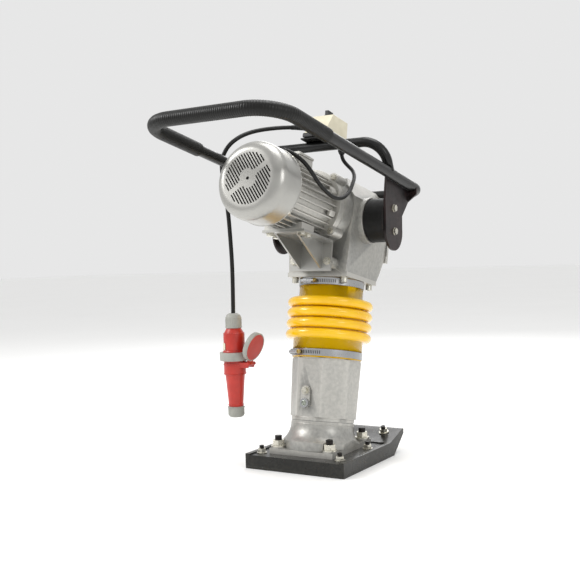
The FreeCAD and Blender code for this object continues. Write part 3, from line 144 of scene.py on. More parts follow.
def ramp(tree, source, stops):
    """Colours or greys along a value from 0 to 1."""
    made = add_node(tree, "ShaderNodeValToRGB", links={0: source})
    bar = made.color_ramp
    while len(bar.elements) < len(stops):
        bar.elements.new(0.5)
    for element, (place, value) in zip(bar.elements, stops):
        element.position = place
        element.color = colour(value) if isinstance(value, str) else (value, value, value, 1)
    return made


def noise(tree, size_mm, detail=3.0, rough=0.55, stretch=(1, 1, 1)):
    """Noise whose features are about size_mm across."""
    place = add_node(tree, "ShaderNodeTexCoord").outputs["Object"]
    scaled = add_node(tree, "ShaderNodeMapping", links={"Vector": place}, inputs={"Scale": stretch})
    return add_node(tree, "ShaderNodeTexNoise", links={"Vector": scaled.outputs[0]},
                    inputs={"Scale": 1000 / size_mm, "Detail": detail, "Roughness": rough}).outputs["Fac"]


def relief(tree, shader, height, depth_mm, strength=0.5, under=None):
    """Bump of a real depth."""
    links = {"Height": height}
    if under is not None:
        links["Normal"] = under
    bump = add_node(tree, "ShaderNodeBump", links=links,
                    inputs={"Strength": strength, "Distance": depth_mm / 1000})
    tree.links.new(bump.outputs[0], shader.inputs["Normal"])
    return bump.outputs[0]


def mottled(tree, shader, stops, size_mm, socket="Base Color", detail=4.0):
    """Slow variation of colour or roughness over the surface."""
    source = noise(tree, size_mm, detail)
    tree.links.new(ramp(tree, source, stops).outputs[0], shader.inputs[socket])


def painted_edge_highlight(tree, shader, base, highlight, reach=(0.52, 0.60)):
    """Painted highlight on outward corners, made lighter as if the edges caught the light: pointiness picks
    the corners and noise breaks the highlight up.
    """
    point = add_node(tree, "ShaderNodeNewGeometry").outputs["Pointiness"]
    broken = noise(tree, 9, 6.0)
    both = add_node(tree, "ShaderNodeMath", {"operation": "MULTIPLY_ADD"},
                    {0: broken, 2: point}, {1: 0.10})
    highlight_mask = ramp(tree, both.outputs[0], [(reach[0], 0.0), (reach[1], 1.0)])
    mix = add_node(tree, "ShaderNodeMix", {"data_type": "RGBA"}, {0: highlight_mask.outputs[0]})
    mix.inputs[7].default_value = colour(highlight)
    if isinstance(base, str):
        mix.inputs[6].default_value = colour(base)
    else:
        tree.links.new(base, mix.inputs[6])
    tree.links.new(mix.outputs[2], shader.inputs["Base Color"])


def cast_aluminium():
    """Sand-cast aluminium under a thin silver coat: an even, slightly pebbled satin skin."""
    made, tree, shader = new_material("sand_cast_aluminium", "#8d8d8a", 0.7, 0.42)
    tint = ramp(tree, noise(tree, 55, 5.0), [(0.3, "#8c8c89"), (0.7, "#989792")])
    # Painted highlight: the corners are lightened towards #bcbab4 as if they caught the light.
    painted_edge_highlight(tree, shader, tint.outputs[0], "#bcbab4")
    mottled(tree, shader, [(0.3, 0.36), (0.75, 0.44)], 60, "Roughness")
    # Sand grain is about 0.5 mm; it is drawn at 2.2 mm so that it shows.
    relief(tree, shader, noise(tree, 2.2, 4.0), 0.2, 0.3)
    return made


def sheet_silver():
    """Pressed steel sheet under satin silver paint: smooth, with a faint orange peel."""
    made, tree, shader = new_material("silver_paint_on_sheet", "#a8a7a2", 0.75, 0.33, Coat_Weight=0.2,
                                      Coat_Roughness=0.2)
    tint = ramp(tree, noise(tree, 80, 3.0), [(0.3, "#a09f9b"), (0.7, "#afaea9")])
    tree.links.new(tint.outputs[0], shader.inputs["Base Color"])
    mottled(tree, shader, [(0.3, 0.3), (0.75, 0.38)], 30, "Roughness")
    # Orange peel is about 1.5 mm; it is drawn at 4 mm.
    relief(tree, shader, noise(tree, 4, 1.0), 0.08, 0.25)
    return made


def gloss_black():
    """Gloss black enamel on the shoe: deep, a little uneven, with a painted highlight along its edges."""
    made, tree, shader = new_material("gloss_black_enamel", "#0b0b0a", 0.0, 0.24, Coat_Weight=0.15,
                                      Coat_Roughness=0.1, Specular_IOR_Level=0.25)
    # Painted highlight: the edges are lightened towards #35342f as if they caught the light.
    painted_edge_highlight(tree, shader, "#0b0b0a", "#35342f", (0.56, 0.66))
    mottled(tree, shader, [(0.35, 0.22), (0.75, 0.4)], 40, "Roughness")
    relief(tree, shader, noise(tree, 6, 2.0), 0.12, 0.3)
    return made


def tube_black():
    """Black powder coat on tube and plate: satin, with a fine orange peel."""
    made, tree, shader = new_material("black_powder_coat", "#0a0a09", 0.0, 0.3, Coat_Weight=0.15,
                                      Coat_Roughness=0.15, Specular_IOR_Level=0.3)
    # Painted highlight: the edges are lightened towards #2a2a27 as if they caught the light.
    painted_edge_highlight(tree, shader, "#0a0a09", "#2a2a27", (0.57, 0.68))
    mottled(tree, shader, [(0.3, 0.3), (0.8, 0.44)], 18, "Roughness")
    # The peel is about 0.8 mm; it is drawn at 2.5 mm.
    relief(tree, shader, noise(tree, 2.5, 1.0), 0.08, 0.35)
    return made


def plate_dark():
    """Dark primer on the bracket plates, warm where the primer shows through."""
    made, tree, shader = new_material("dark_primed_plate", "#120c0d", 0.0, 0.34, Specular_IOR_Level=0.3)
    tint = ramp(tree, noise(tree, 45, 4.0), [(0.35, "#0c0a0a"), (0.72, "#1f1112")])
    # Painted highlight: the edges are lightened towards #3a2c2a as if they caught the light.
    painted_edge_highlight(tree, shader, tint.outputs[0], "#3a2c2a", (0.57, 0.68))
    mottled(tree, shader, [(0.3, 0.34), (0.8, 0.5)], 20, "Roughness")
    relief(tree, shader, noise(tree, 2.5, 2.0), 0.1, 0.35)
    return made


def zinc():
    """Bright zinc plate on nuts and bolts: pale, slightly yellow, with soft cloudy patches."""
    made, tree, shader = new_material("bright_zinc_plate", "#c8c5ba", 1.0, 0.3)
    tint = ramp(tree, noise(tree, 7, 3.0), [(0.3, "#b9b7ae"), (0.7, "#d6d2c4")])
    tree.links.new(tint.outputs[0], shader.inputs["Base Color"])
    mottled(tree, shader, [(0.3, 0.22), (0.75, 0.4)], 5, "Roughness")
    relief(tree, shader, noise(tree, 1.5, 2.0), 0.05, 0.3)
    return made


def oiled_steel():
    """Turned steel with an oil film: grey, with fine turning marks."""
    made, tree, shader = new_material("oiled_turned_steel", "#77787b", 1.0, 0.32)
    mottled(tree, shader, [(0.3, "#6c6d70"), (0.7, "#85868a")], 12)
    relief(tree, shader, noise(tree, 3, 2.0, stretch=(1, 1, 6)), 0.04, 0.3)
    return made


def stud_steel():
    """Blackened ends of the studs: dark, slightly rusty in the thread."""
    made, tree, shader = new_material("blackened_stud_steel", "#1c1b1a", 0.6, 0.45)
    mottled(tree, shader, [(0.35, "#151414"), (0.75, "#2c2723")], 4)
    place = add_node(tree, "ShaderNodeTexCoord").outputs["Object"]
    # Thread pitch of 2 mm, read straight up the stud.
    thread = add_node(tree, "ShaderNodeTexWave", {"bands_direction": "Z"}, {"Vector": place},
                      {"Scale": 1000 / 2 / 20 * math.pi})
    relief(tree, shader, thread.outputs["Fac"], 0.6, 0.7)
    return made


def stainless():
    """Stainless strip of the clamp bands: bright, with rolling marks round the band."""
    made, tree, shader = new_material("stainless_strip", "#a9aaab", 1.0, 0.3, Anisotropic=0.4)
    mottled(tree, shader, [(0.3, 0.24), (0.75, 0.38)], 10, "Roughness")
    relief(tree, shader, noise(tree, 8, 2.0, stretch=(1, 1, 12)), 0.04, 0.3)
    return made


def brass():
    """Brass-coloured passivated steel of the clamp screws."""
    made, tree, shader = new_material("yellow_passivated_steel", "#b39a56", 1.0, 0.3)
    mottled(tree, shader, [(0.3, "#a48a4a"), (0.7, "#c8b27a")], 4)
    relief(tree, shader, noise(tree, 2, 2.0), 0.05, 0.3)
    return made


def polyurethane():
    """Cast polyurethane of the bellows: glossy, deep yellow, a little light passes into it."""
    made, tree, shader = new_material("yellow_cast_polyurethane", "#eebb00", 0.0, 0.22, IOR=1.5,
                                      Coat_Weight=0.3, Coat_Roughness=0.08)
    mottled(tree, shader, [(0.3, "#e9b400"), (0.7, "#f2c205")], 60)
    mottled(tree, shader, [(0.35, 0.18), (0.75, 0.3)], 18, "Roughness")
    relief(tree, shader, noise(tree, 10, 2.0), 0.12, 0.25)
    return made


def rubber():
    """Black rubber of buffers and cables: matt, with a dusty bloom."""
    made, tree, shader = new_material("black_rubber", "#0e0e0d", 0.0, 0.55, Specular_IOR_Level=0.25)
    mottled(tree, shader, [(0.35, "#0c0c0b"), (0.8, "#191918")], 22)
    mottled(tree, shader, [(0.3, 0.46), (0.75, 0.66)], 12, "Roughness")
    relief(tree, shader, noise(tree, 1.8, 3.0), 0.08, 0.35)
    return made


def cable_rubber():
    """Rubber sheath of the cable: smoother than moulded rubber, with a soft shine."""
    made, tree, shader = new_material("cable_sheath_rubber", "#0f0f0d", 0.0, 0.4, Specular_IOR_Level=0.3)
    mottled(tree, shader, [(0.3, 0.32), (0.75, 0.5)], 9, "Roughness")
    relief(tree, shader, noise(tree, 3, 3.0), 0.08, 0.35)
    return made


def moulded(title, dark, light, rough, grain=1.6):
    """Injection-moulded plastic with a light spark-eroded grain."""
    made, tree, shader = new_material(title, light, 0.0, rough, IOR=1.53)
    mottled(tree, shader, [(0.3, dark), (0.7, light)], 35)
    mottled(tree, shader, [(0.3, rough - 0.06), (0.75, rough + 0.08)], 14, "Roughness")
    # The grain is about 0.2 mm; it is drawn coarser so that it shows.
    relief(tree, shader, noise(tree, grain, 3.0), 0.06, 0.3)
    return made


def lens():
    """Clear acrylic of the oil sight glass."""
    made, tree, shader = new_material("clear_acrylic", "#dfe6d8", 0.0, 0.08, IOR=1.49)
    shader.inputs["Transmission Weight"].default_value = 0.7
    mottled(tree, shader, [(0.3, 0.06), (0.75, 0.12)], 6, "Roughness")
    return made


def studio_floor():
    """Plain pale floor."""
    made, tree, shader = new_material("pale_floor", "#fbfbfa", 0.0, 0.7)
    mottled(tree, shader, [(0.3, "#fafaf9"), (0.7, "#fcfcfb")], 900)
    return made


FINISHES = {}


def finish(title):
    """A finish by name, made on first use."""
    makers = {
        "cast": cast_aluminium, "sheet": sheet_silver, "shoe": gloss_black, "tube": tube_black,
        "plate": plate_dark, "zinc": zinc, "steel": oiled_steel, "stud": stud_steel, "stainless": stainless,
        "brass": brass, "bellows": polyurethane, "rubber": rubber, "cable": cable_rubber, "lens": lens,
        "floor": studio_floor,
        "black": lambda: moulded("black_moulded_nylon", "#0c0c0c", "#151514", 0.4),
        "cream": lambda: moulded("cream_moulded_abs", "#ccc5ac", "#d9d2bb", 0.4),
        "red": lambda: moulded("red_moulded_nylon", "#a82318", "#bf3022", 0.36),
        # Darker than the plug's red: painted shade for the hollow of the open lid, given to the seal inside
        # it.
        "shaded_red": lambda: moulded("red_seal_in_painted_shade", "#641518", "#7c1c1f", 0.5),
        "grey": lambda: moulded("grey_moulded_nylon", "#93938c", "#a5a59d", 0.45),
    }
    if title not in FINISHES:
        FINISHES[title] = makers[title]()
    return FINISHES[title]


# ---- making pieces -----------------------------------------------


def pick(*objects):
    """Select only these and make the first active."""
    bpy.ops.object.select_all(action="DESELECT")
    for obj in objects:
        obj.select_set(True)
    bpy.context.view_layer.objects.active = objects[0]


def apply_all(obj):
    """Apply the object's modifiers in order."""
    pick(obj)
    for modifier in list(obj.modifiers):
        bpy.ops.object.modifier_apply(modifier=modifier.name)


def settle(obj):
    """Apply the object's place so that it sits at the origin, unturned."""
    pick(obj)
    bpy.ops.object.transform_apply(location=True, rotation=True, scale=True)


def bevel(obj, width_mm, segments=2, angle=32):
    modifier = obj.modifiers.new("Bevel", "BEVEL")
    modifier.width = width_mm / 1000
    modifier.segments = segments
    modifier.limit_method = "ANGLE"
    modifier.angle_limit = math.radians(angle)
    modifier.harden_normals = False
    apply_all(obj)


def smooth(obj, angle=32):
    pick(obj)
    bpy.ops.object.shade_smooth_by_angle(angle=math.radians(angle))


def weigh_normals(obj):
    """Shade by the large faces, so that flats stay flat between their rounded edges."""
    modifier = obj.modifiers.new("Normals", "WEIGHTED_NORMAL")
    modifier.keep_sharp = True
    apply_all(obj)


def dress(obj, title, finish_name, body):
    """Name a finished piece, give it its finish and, when a body is given, attach it to that body."""
    obj.name = title
    obj.data.name = title
    obj.data.materials.clear()
    obj.data.materials.append(finish(finish_name))
    if body:
        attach(obj, body)
    return obj


def body_of_node(node):
    for body, members in frame["record"]["behaviour"]["bodies"].items():
        if node in members:
            return body
    raise RuntimeError("no body for " + node)


def refined(node, finish_name, width_mm=0.0, angle=32, title=None, rides=True):
    """A copy of a CAD piece with welded faces, rounded edges and smooth shading, standing for that piece."""
    pick(frame["nodes"][node])
    bpy.ops.object.duplicate()
    copy = bpy.context.active_object
    copy.parent = None
    copy.matrix_world = Matrix.Identity(4)
    for key in list(copy.keys()):
        del copy[key]
    bpy.ops.object.mode_set(mode="EDIT")
    bpy.ops.mesh.select_all(action="SELECT")
    bpy.ops.mesh.remove_doubles(threshold=0.00001)
    bpy.ops.mesh.dissolve_limited(angle_limit=math.radians(0.6))
    bpy.ops.object.mode_set(mode="OBJECT")
    if width_mm:
        bevel(copy, width_mm, 2, angle)
    smooth(copy, angle)
    weigh_normals(copy)
    dress(copy, title or node + "_skin", finish_name, body_of_node(node) if rides else None)
    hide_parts(node)
    return copy


def stretch(obj, lower_body, upper_body, low, high):
    """Apply the piece's place to its mesh; the two bodies and the two heights on the leg are not used."""
    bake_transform(obj)


def fitting(parts, title, finish_name, body, angle=None):
    """Join parts into one named piece, smoothed where an angle is given."""
    pick(*parts)
    if len(parts) > 1:
        bpy.ops.object.join()
    piece = bpy.context.active_object
    if angle:
        smooth(piece, angle)
    return dress(piece, title, finish_name, body)


def facing(direction):
    """Turn that takes +Z to a direction."""
    return Vector(direction).to_track_quat("Z", "Y")


def disc(radius_mm, length_mm, place, direction, sides, round_mm):
    """A round solid from place along direction, with rounded rims."""
    bpy.ops.mesh.primitive_cylinder_add(vertices=sides, radius=radius_mm / 1000, depth=length_mm / 1000)
    obj = bpy.context.active_object
    obj.rotation_mode = "QUATERNION"
    obj.rotation_quaternion = facing(direction)
    obj.location = place + Vector(direction).normalized() * (length_mm / 2000)
    settle(obj)
    bevel(obj, round_mm, 3)
    return obj


def brick(size_mm, place, turn, round_mm=0.8):
    """A rounded box centred on place, with its own sides turned by a 4x4 or 3x3 turn."""
    bpy.ops.mesh.primitive_cube_add(size=1)
    obj = bpy.context.active_object
    obj.scale = [side / 1000 for side in size_mm]
    pick(obj)
    bpy.ops.object.transform_apply(location=False, rotation=False, scale=True)
    obj.matrix_world = Matrix.Translation(place) @ turn.to_3x3().to_4x4()
    settle(obj)
    bevel(obj, round_mm, 2)
    return obj


def ring(radius_mm, wire_mm, place, direction, sides=64, thin=12):
    """A round ring about direction."""
    bpy.ops.mesh.primitive_torus_add(major_segments=sides, minor_segments=thin, major_radius=radius_mm / 1000,
                                     minor_radius=wire_mm / 1000)
    obj = bpy.context.active_object
    obj.rotation_mode = "QUATERNION"
    obj.rotation_quaternion = facing(direction)
    obj.location = place
    settle(obj)
    return obj


def lathe(profile_mm, place, direction, sides=64):
    """A solid spun from a half profile of (radius, height) points in edit mode."""
    mesh = bpy.data.meshes.new("profile")
    mesh.from_pydata([(r / 1000, 0, h / 1000) for r, h in profile_mm],
                     [(i, i + 1) for i in range(len(profile_mm) - 1)], [])
    obj = bpy.data.objects.new("profile", mesh)
    bpy.context.scene.collection.objects.link(obj)
    pick(obj)
    bpy.ops.object.mode_set(mode="EDIT")
    bpy.ops.mesh.select_all(action="SELECT")
    bpy.ops.mesh.spin(steps=sides, angle=2 * math.pi, center=(0, 0, 0), axis=(0, 0, 1))
    bpy.ops.mesh.select_all(action="SELECT")
    bpy.ops.mesh.remove_doubles(threshold=0.00001)
    bpy.ops.mesh.normals_make_consistent(inside=False)
    bpy.ops.object.mode_set(mode="OBJECT")
    obj.rotation_mode = "QUATERNION"
    obj.rotation_quaternion = facing(direction)
    obj.location = place
    settle(obj)
    return obj


def route_curve(title, points, radius, sides=8):
    """A smooth open NURBS curve of order 3 with the points as its control points."""
    data = bpy.data.curves.new(title, "CURVE")
    data.dimensions = "3D"
    data.resolution_u = 12
    data.bevel_depth = radius
    data.bevel_resolution = sides
    data.use_fill_caps = True
    spline = data.splines.new("NURBS")
    spline.points.add(len(points) - 1)
    for spot, point in zip(spline.points, points):
        spot.co = (*point, 1)
    spline.order_u = 3
    spline.use_endpoint_u = True
    obj = bpy.data.objects.new(title, data)
    bpy.context.scene.collection.objects.link(obj)
    return obj


def smooth_line(points):
    """Points read along the route's own smooth curve."""
    thin = route_curve("line", points, 0)
    graph = bpy.context.evaluated_depsgraph_get()
    mesh = bpy.data.meshes.new_from_object(thin.evaluated_get(graph))
    line = [v.co.copy() for v in mesh.vertices]
    bpy.data.objects.remove(thin)
    return line


def line_length(line):
    return sum((b - a).length for a, b in zip(line, line[1:]))


def spot_at(line, way):
    """The point at a length along a line."""
    for a, b in zip(line, line[1:]):
        step = (b - a).length
        if way <= step:
            return a.lerp(b, way / max(step, 1e-9))
        way -= step
    return line[-1]


def bent_line(points, bends, steps=14):
    """The middle of a bar along straight runs joined by round bends (all in metres)."""
    line = []
    for i, here in enumerate(points):
        if i in (0, len(points) - 1):
            line.append(here)
            continue
        back = (points[i - 1] - here).normalized()
        on = (points[i + 1] - here).normalized()
        half = (math.pi - back.angle(on)) / 2
        reach = bends[i] * math.tan(half)
        centre = here + (back + on).normalized() * (bends[i] / math.cos(half))
        start, end = here + back * reach, here + on * reach
        for step in range(steps + 1):
            way = (start - centre).lerp(end - centre, step / steps)
            line.append(centre + way.normalized() * bends[i])
    return line


def sleeve_mesh(title, spots, radii):
    """A capped tube through spots, with its own radius at each."""
    data = bpy.data.curves.new(title, "CURVE")
    data.dimensions = "3D"
    data.bevel_depth = 1.0
    data.bevel_resolution = 6
    data.use_fill_caps = True
    spline = data.splines.new("POLY")
    spline.points.add(len(spots) - 1)
    for point, spot, radius in zip(spline.points, spots, radii):
        point.co = (*spot, 1)
        point.radius = radius
    sleeve = bpy.data.objects.new(title, data)
    bpy.context.scene.collection.objects.link(sleeve)
    pick(sleeve)
    bpy.ops.object.convert(target="MESH")
    return bpy.context.active_object


# ---- settings ----------------------------------------------------


class RammerSizes(bpy.types.PropertyGroup):
    cable_diameter: bpy.props.FloatProperty(
        name="Cable diameter", description="Supply cable over its sheath", default=0.011, unit="LENGTH")
    lead_diameter: bpy.props.FloatProperty(
        name="Lead diameter", description="Lead from the switch to the motor", default=0.010, unit="LENGTH")
    grip_radius: bpy.props.FloatProperty(
        name="Grip radius", description="Rubber sleeve over its ribs", default=0.0172, unit="LENGTH")
    grip_rib: bpy.props.FloatProperty(
        name="Grip rib depth", description="Depth of the ribs moulded round the sleeve", default=0.0006,
        unit="LENGTH")
    grip_pitch: bpy.props.FloatProperty(
        name="Grip rib pitch", description="From one rib to the next", default=0.0055, unit="LENGTH")
    casting_round: bpy.props.FloatProperty(
        name="Casting edge", description="Rounding of the castings' edges, in millimetres", default=1.8)
    sheet_round: bpy.props.FloatProperty(
        name="Plate edge", description="Rounding of cut plates, in millimetres", default=0.8)


class RammerColours(bpy.types.PropertyGroup):
    backdrop: bpy.props.FloatProperty(
        name="Studio brightness", description="Strength of the even light from all round", default=0.8,
        min=0.0, max=5.0)


# ---- stage -------------------------------------------------------


class RAMMER_OT_stage(bpy.types.Operator):
    """Camera, floor, lights and even studio light"""
    bl_idname = "rammer.stage"
    bl_label = "Stage"

    def execute(self, context):
        bpy.ops.object.select_all(action="DESELECT")
        self.camera()
        self.floor()
        self.lights()
        return {"FINISHED"}

    def camera(self):
        turn, tip, roll = math.radians(31.638), math.radians(-2.0265), math.radians(-1.758)
        forward = Vector((-math.sin(turn) * math.cos(tip), math.cos(turn) * math.cos(tip), math.sin(tip)))
        level = Vector((math.cos(turn), math.sin(turn), 0))
        upright = level.cross(forward)
        right = math.cos(roll) * level + math.sin(roll) * upright
        above = -math.sin(roll) * level + math.cos(roll) * upright
        bpy.ops.object.camera_add()
        camera = bpy.context.active_object
        camera.name = "studio_camera"
        axes = Matrix((right, above, -forward)).transposed().to_4x4()
        camera.matrix_world = Matrix.Translation((1.16556, -2.02268, 0.53343)) @ axes
        camera.data.lens = 55.86
        camera.data.sensor_width = 36
        camera.data.dof.use_dof = False
        bpy.context.scene.camera = camera
        bpy.context.scene.view_settings.view_transform = "Standard"

    def floor(self):
        bpy.ops.mesh.primitive_plane_add(size=60, location=(0, 0, -0.0004))
        floor = bpy.context.active_object
        floor.name = "studio_floor"
        settle(floor)
        floor.data.materials.append(finish("floor"))

    def lights(self):
        world = bpy.data.worlds.new("studio")
        bpy.context.scene.world = world
        world.use_nodes = True
        even = world.node_tree.nodes["Background"]
        even.inputs["Color"].default_value = (1, 1, 1, 1)
        even.inputs["Strength"].default_value = bpy.context.scene.rammer_colours.backdrop
        aim = Vector((0, -0.05, 0.5))
        softboxes = (("key", (-2.4, -1.7, 2.4), 1.1, 50), ("fill", (3.0, -1.2, 1.8), 1.2, 18),
                     ("top", (0.2, 0.2, 3.0), 1.6, 34), ("back", (-1.0, 2.8, 2.0), 1.6, 22))
        for title, place, size, power in softboxes:
            bpy.ops.object.light_add(type="AREA", location=place)
            light = bpy.context.active_object
            light.name = title + "_softbox"
            light.data.size = size
            light.data.energy = power
            light.rotation_mode = "QUATERNION"
            light.rotation_quaternion = (aim - Vector(place)).to_track_quat("-Z", "Y")


# ---- cables ------------------------------------------------------

# Out of the switch box to the left, over the left rail, and straight down to the plug (millimetres).
SUPPLY_ROUTE = world([
    (-53, 51.3, 878.9), (-76, 48, 881), (-102, 33, 882), (-125, 6, 879), (-144, -26, 873),
    (-159, -57, 864), (-173, -86, 850), (-190, -108, 828), (-205, -116, 796), (-210, -109, 756),
    (-209, -98, 706), (-207.5, -90, 650), (-207, -86, 592), (-206, -83, 530), (-206.4, -82.5, 462),
    (-207, -84, 393)])
# From the switch box down round the motor's right side and back to its terminal box (in the leg's frame).
LEAD_ROUTE = [on_leg(*point) for point in (
    (24, -36, 776), (26, -34, 763), (38, -28, 748), (56, -27, 732), (74, -48, 709), (89, -82, 681),
    (101, -120, 648), (109, -160, 623), (110, -194, 611), (107, -222, 611), (103, -251, 620),
    (99, -278, 633), (95, -299, 650), (87, -317, 667), (73, -332, 682), (54, -340, 694),
    (34, -338, 701), (19, -324, 703.5), (14, -304, 703))]


class RAMMER_OT_cables(bpy.types.Operator):
    """Supply cable that hangs from the switch box, and the lead to the motor"""
    bl_idname = "rammer.cables"
    bl_label = "Cables"

    def execute(self, context):
        sizes = context.scene.rammer_sizes
        cable = route_curve("supply_cable", SUPPLY_ROUTE, sizes.cable_diameter / 2)
        dress(cable, "supply_cable", "cable", "handle")
        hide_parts("supply_cord")
        line = smooth_line(LEAD_ROUTE)
        lead = route_curve("motor_lead_run", LEAD_ROUTE, sizes.lead_diameter / 2)
        pick(lead)
        bpy.ops.object.convert(target="MESH")
        lead = bpy.context.active_object
        dress(lead, "motor_lead_run", "cable", None)
        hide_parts("motor_lead")
        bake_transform(lead)
        return {"FINISHED"}


def declare_supply():
    """Measures the length of the supply cable's smooth line; the length is not kept."""
    line_length(smooth_line(SUPPLY_ROUTE))


# ---- foot --------------------------------------------------------


class RAMMER_OT_foot(bpy.types.Operator):
    """Shoe, leg casting, nuts and studs, sight glass, bellows and clamp bands"""
    bl_idname = "rammer.foot"
    bl_label = "Foot"

    def execute(self, context):
        sizes = context.scene.rammer_sizes
        refined("shoe_block", "shoe", 1.4, title="shoe_top")
        refined("sole_plate", "shoe", 0.6, title="shoe_sole")
        refined("leg_cylinder", "cast", sizes.casting_round, angle=24, title="leg_casting")
        refined("shoe_nuts", "zinc", 0.7, title="flange_nuts")
        refined("shoe_studs", "stud", 0.6, title="stud_ends")
        refined("filler_plug", "zinc", 0.5, title="oil_plug")
        self.bellows()
        self.sight_glass()
        self.clamp("lower_clamp", "foot", 0.0925, 232.5, -32)
        self.clamp("upper_clamp", "housing", 0.086, 418.5, -14)
        self.leg_seams()
        return {"FINISHED"}

    def bellows(self):
        """Two halves cut apart at the middle groove."""
        lower = refined("bellows", "bellows", 0.0, angle=60, title="bellows_lower_rolls", rides=False)
        pick(lower)
        bpy.ops.object.duplicate()
        upper = bpy.context.active_object
        dress(upper, "bellows_upper_rolls", "bellows", None)
        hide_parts("bellows")
        for half in (lower, upper):
            pick(half)
            bpy.ops.object.mode_set(mode="EDIT")
            bpy.ops.mesh.select_all(action="SELECT")
            bpy.ops.mesh.bisect(plane_co=on_leg(0, 0, MIDDLE_GROOVE), plane_no=UP_LEG,
                                clear_inner=half is upper, clear_outer=half is lower)
            bpy.ops.object.mode_set(mode="OBJECT")
        stretch(lower, "foot", "ram", LOWER_BAND_TOP, MIDDLE_GROOVE)
        stretch(upper, "ram", "housing", MIDDLE_GROOVE, UPPER_BAND_FOOT)

    def sight_glass(self):
        refined("sight_glass", "stainless", 0.5, title="sight_glass_rim")
        face = on_leg(-7, -92.0, 111)
        rear = -AHEAD
        window = lathe([(0, 0.6), (5.5, 0.9), (7.2, 0), (7.2, -0.8), (0, -0.8)], face, rear, 32)
        fitting([window], "sight_glass_lens", "lens", "foot", 40)
        prongs = [disc(1.1, 1.4, face + rear * 0.0004 + Vector((math.cos(a), 0, 0)) * 0.0046
                       + UP_LEG * math.sin(a) * 0.0046, rear, 12, 0.2) for a in (0.6, 2.7, 4.8)]
        fitting(prongs, "sight_glass_star", "stud", "foot")

    def clamp(self, node, body, radius, low, turn):
        """Band with punched slots and a worm housing with its screw."""
        refined(node, "stainless", 0.35, title=node + "_band")
        middle = on_leg(0, 0, low + 9)
        slots = []
        for i in range(12):
            out, side = spoke(-90 + turn + 14 + i * 3.2, ACROSS, AHEAD)
            axes = Matrix((side, out, UP_LEG)).transposed()
            slots.append(brick((1.5, 0.7, 8.5), middle + out * (radius + 0.0010), axes, 0.15))
        fitting(slots, node + "_slots", "stud", body)
        out, side = spoke(-90 + turn, ACROSS, AHEAD)
        head = middle + out * (radius + 0.0042) + side * 0.0225
        screw = disc(5.0, 5, head, side, 6, 0.5)
        collar = disc(6.2, 1.2, head, side, 24, 0.3)
        fitting([screw, collar], node + "_screw", "brass", body)

    def leg_seams(self):
        """Turned lines round the leg's collar."""
        rings = [ring(82.2, 0.7, on_leg(0, 0, up), UP_LEG, 96, 8) for up in (59.5, 75.5)]
        fitting(rings, "leg_collar_lines", "cast", "foot")


# ---- housing -----------------------------------------------------


class RAMMER_OT_housing(bpy.types.Operator):
    """Crankcase, cover, bolts, buffers and their cast details"""
    bl_idname = "rammer.housing"
    bl_label = "Housing"

    def execute(self, context):
        sizes = context.scene.rammer_sizes
        refined("crankcase", "cast", sizes.casting_round, angle=26, title="crankcase_casting")
        refined("crankcase_cover", "cast", 1.2, angle=30, title="front_cover")
        refined("case_bolts", "zinc", 0.5, title="case_bolt_heads")
        refined("guide_cylinder", "cast", 0.6, title="guide_tube")
        refined("left_buffer", "rubber", 1.2, title="left_rubber")
        refined("right_buffer", "rubber", 1.2, title="right_rubber")
        self.gasket()
        self.buffer_rims()
        return {"FINISHED"}

    def gasket(self):
        """Dark paper gasket that shows as a line between cover and case."""
        low, high = 508.4, 688.0
        strips = [brick((1.6, 1.6, 96), on_leg(across * 94.2, COVER_FACE, 574), LEG_AXES, 0.3)
                  for across in (-1, 1)]
        strips.append(brick((112, 1.6, 1.6), on_leg(0, COVER_FACE, high), LEG_AXES, 0.3))
        strips.append(brick((100, 1.6, 1.6), on_leg(0, COVER_FACE, low), LEG_AXES, 0.3))
        fitting(strips, "cover_gasket", "black", "housing")

    def buffer_rims(self):
        """Steel discs bonded to both ends of each rubber buffer."""
        rims = [ring(57.1, 0.9, on_leg(side * across, 0, BUFFER_UP), ACROSS, 96, 10)
                for side in (-1, 1) for across in (111.4, 164.4)]
        fitting(rims, "buffer_discs", "stud", "housing")


# ---- motor -------------------------------------------------------


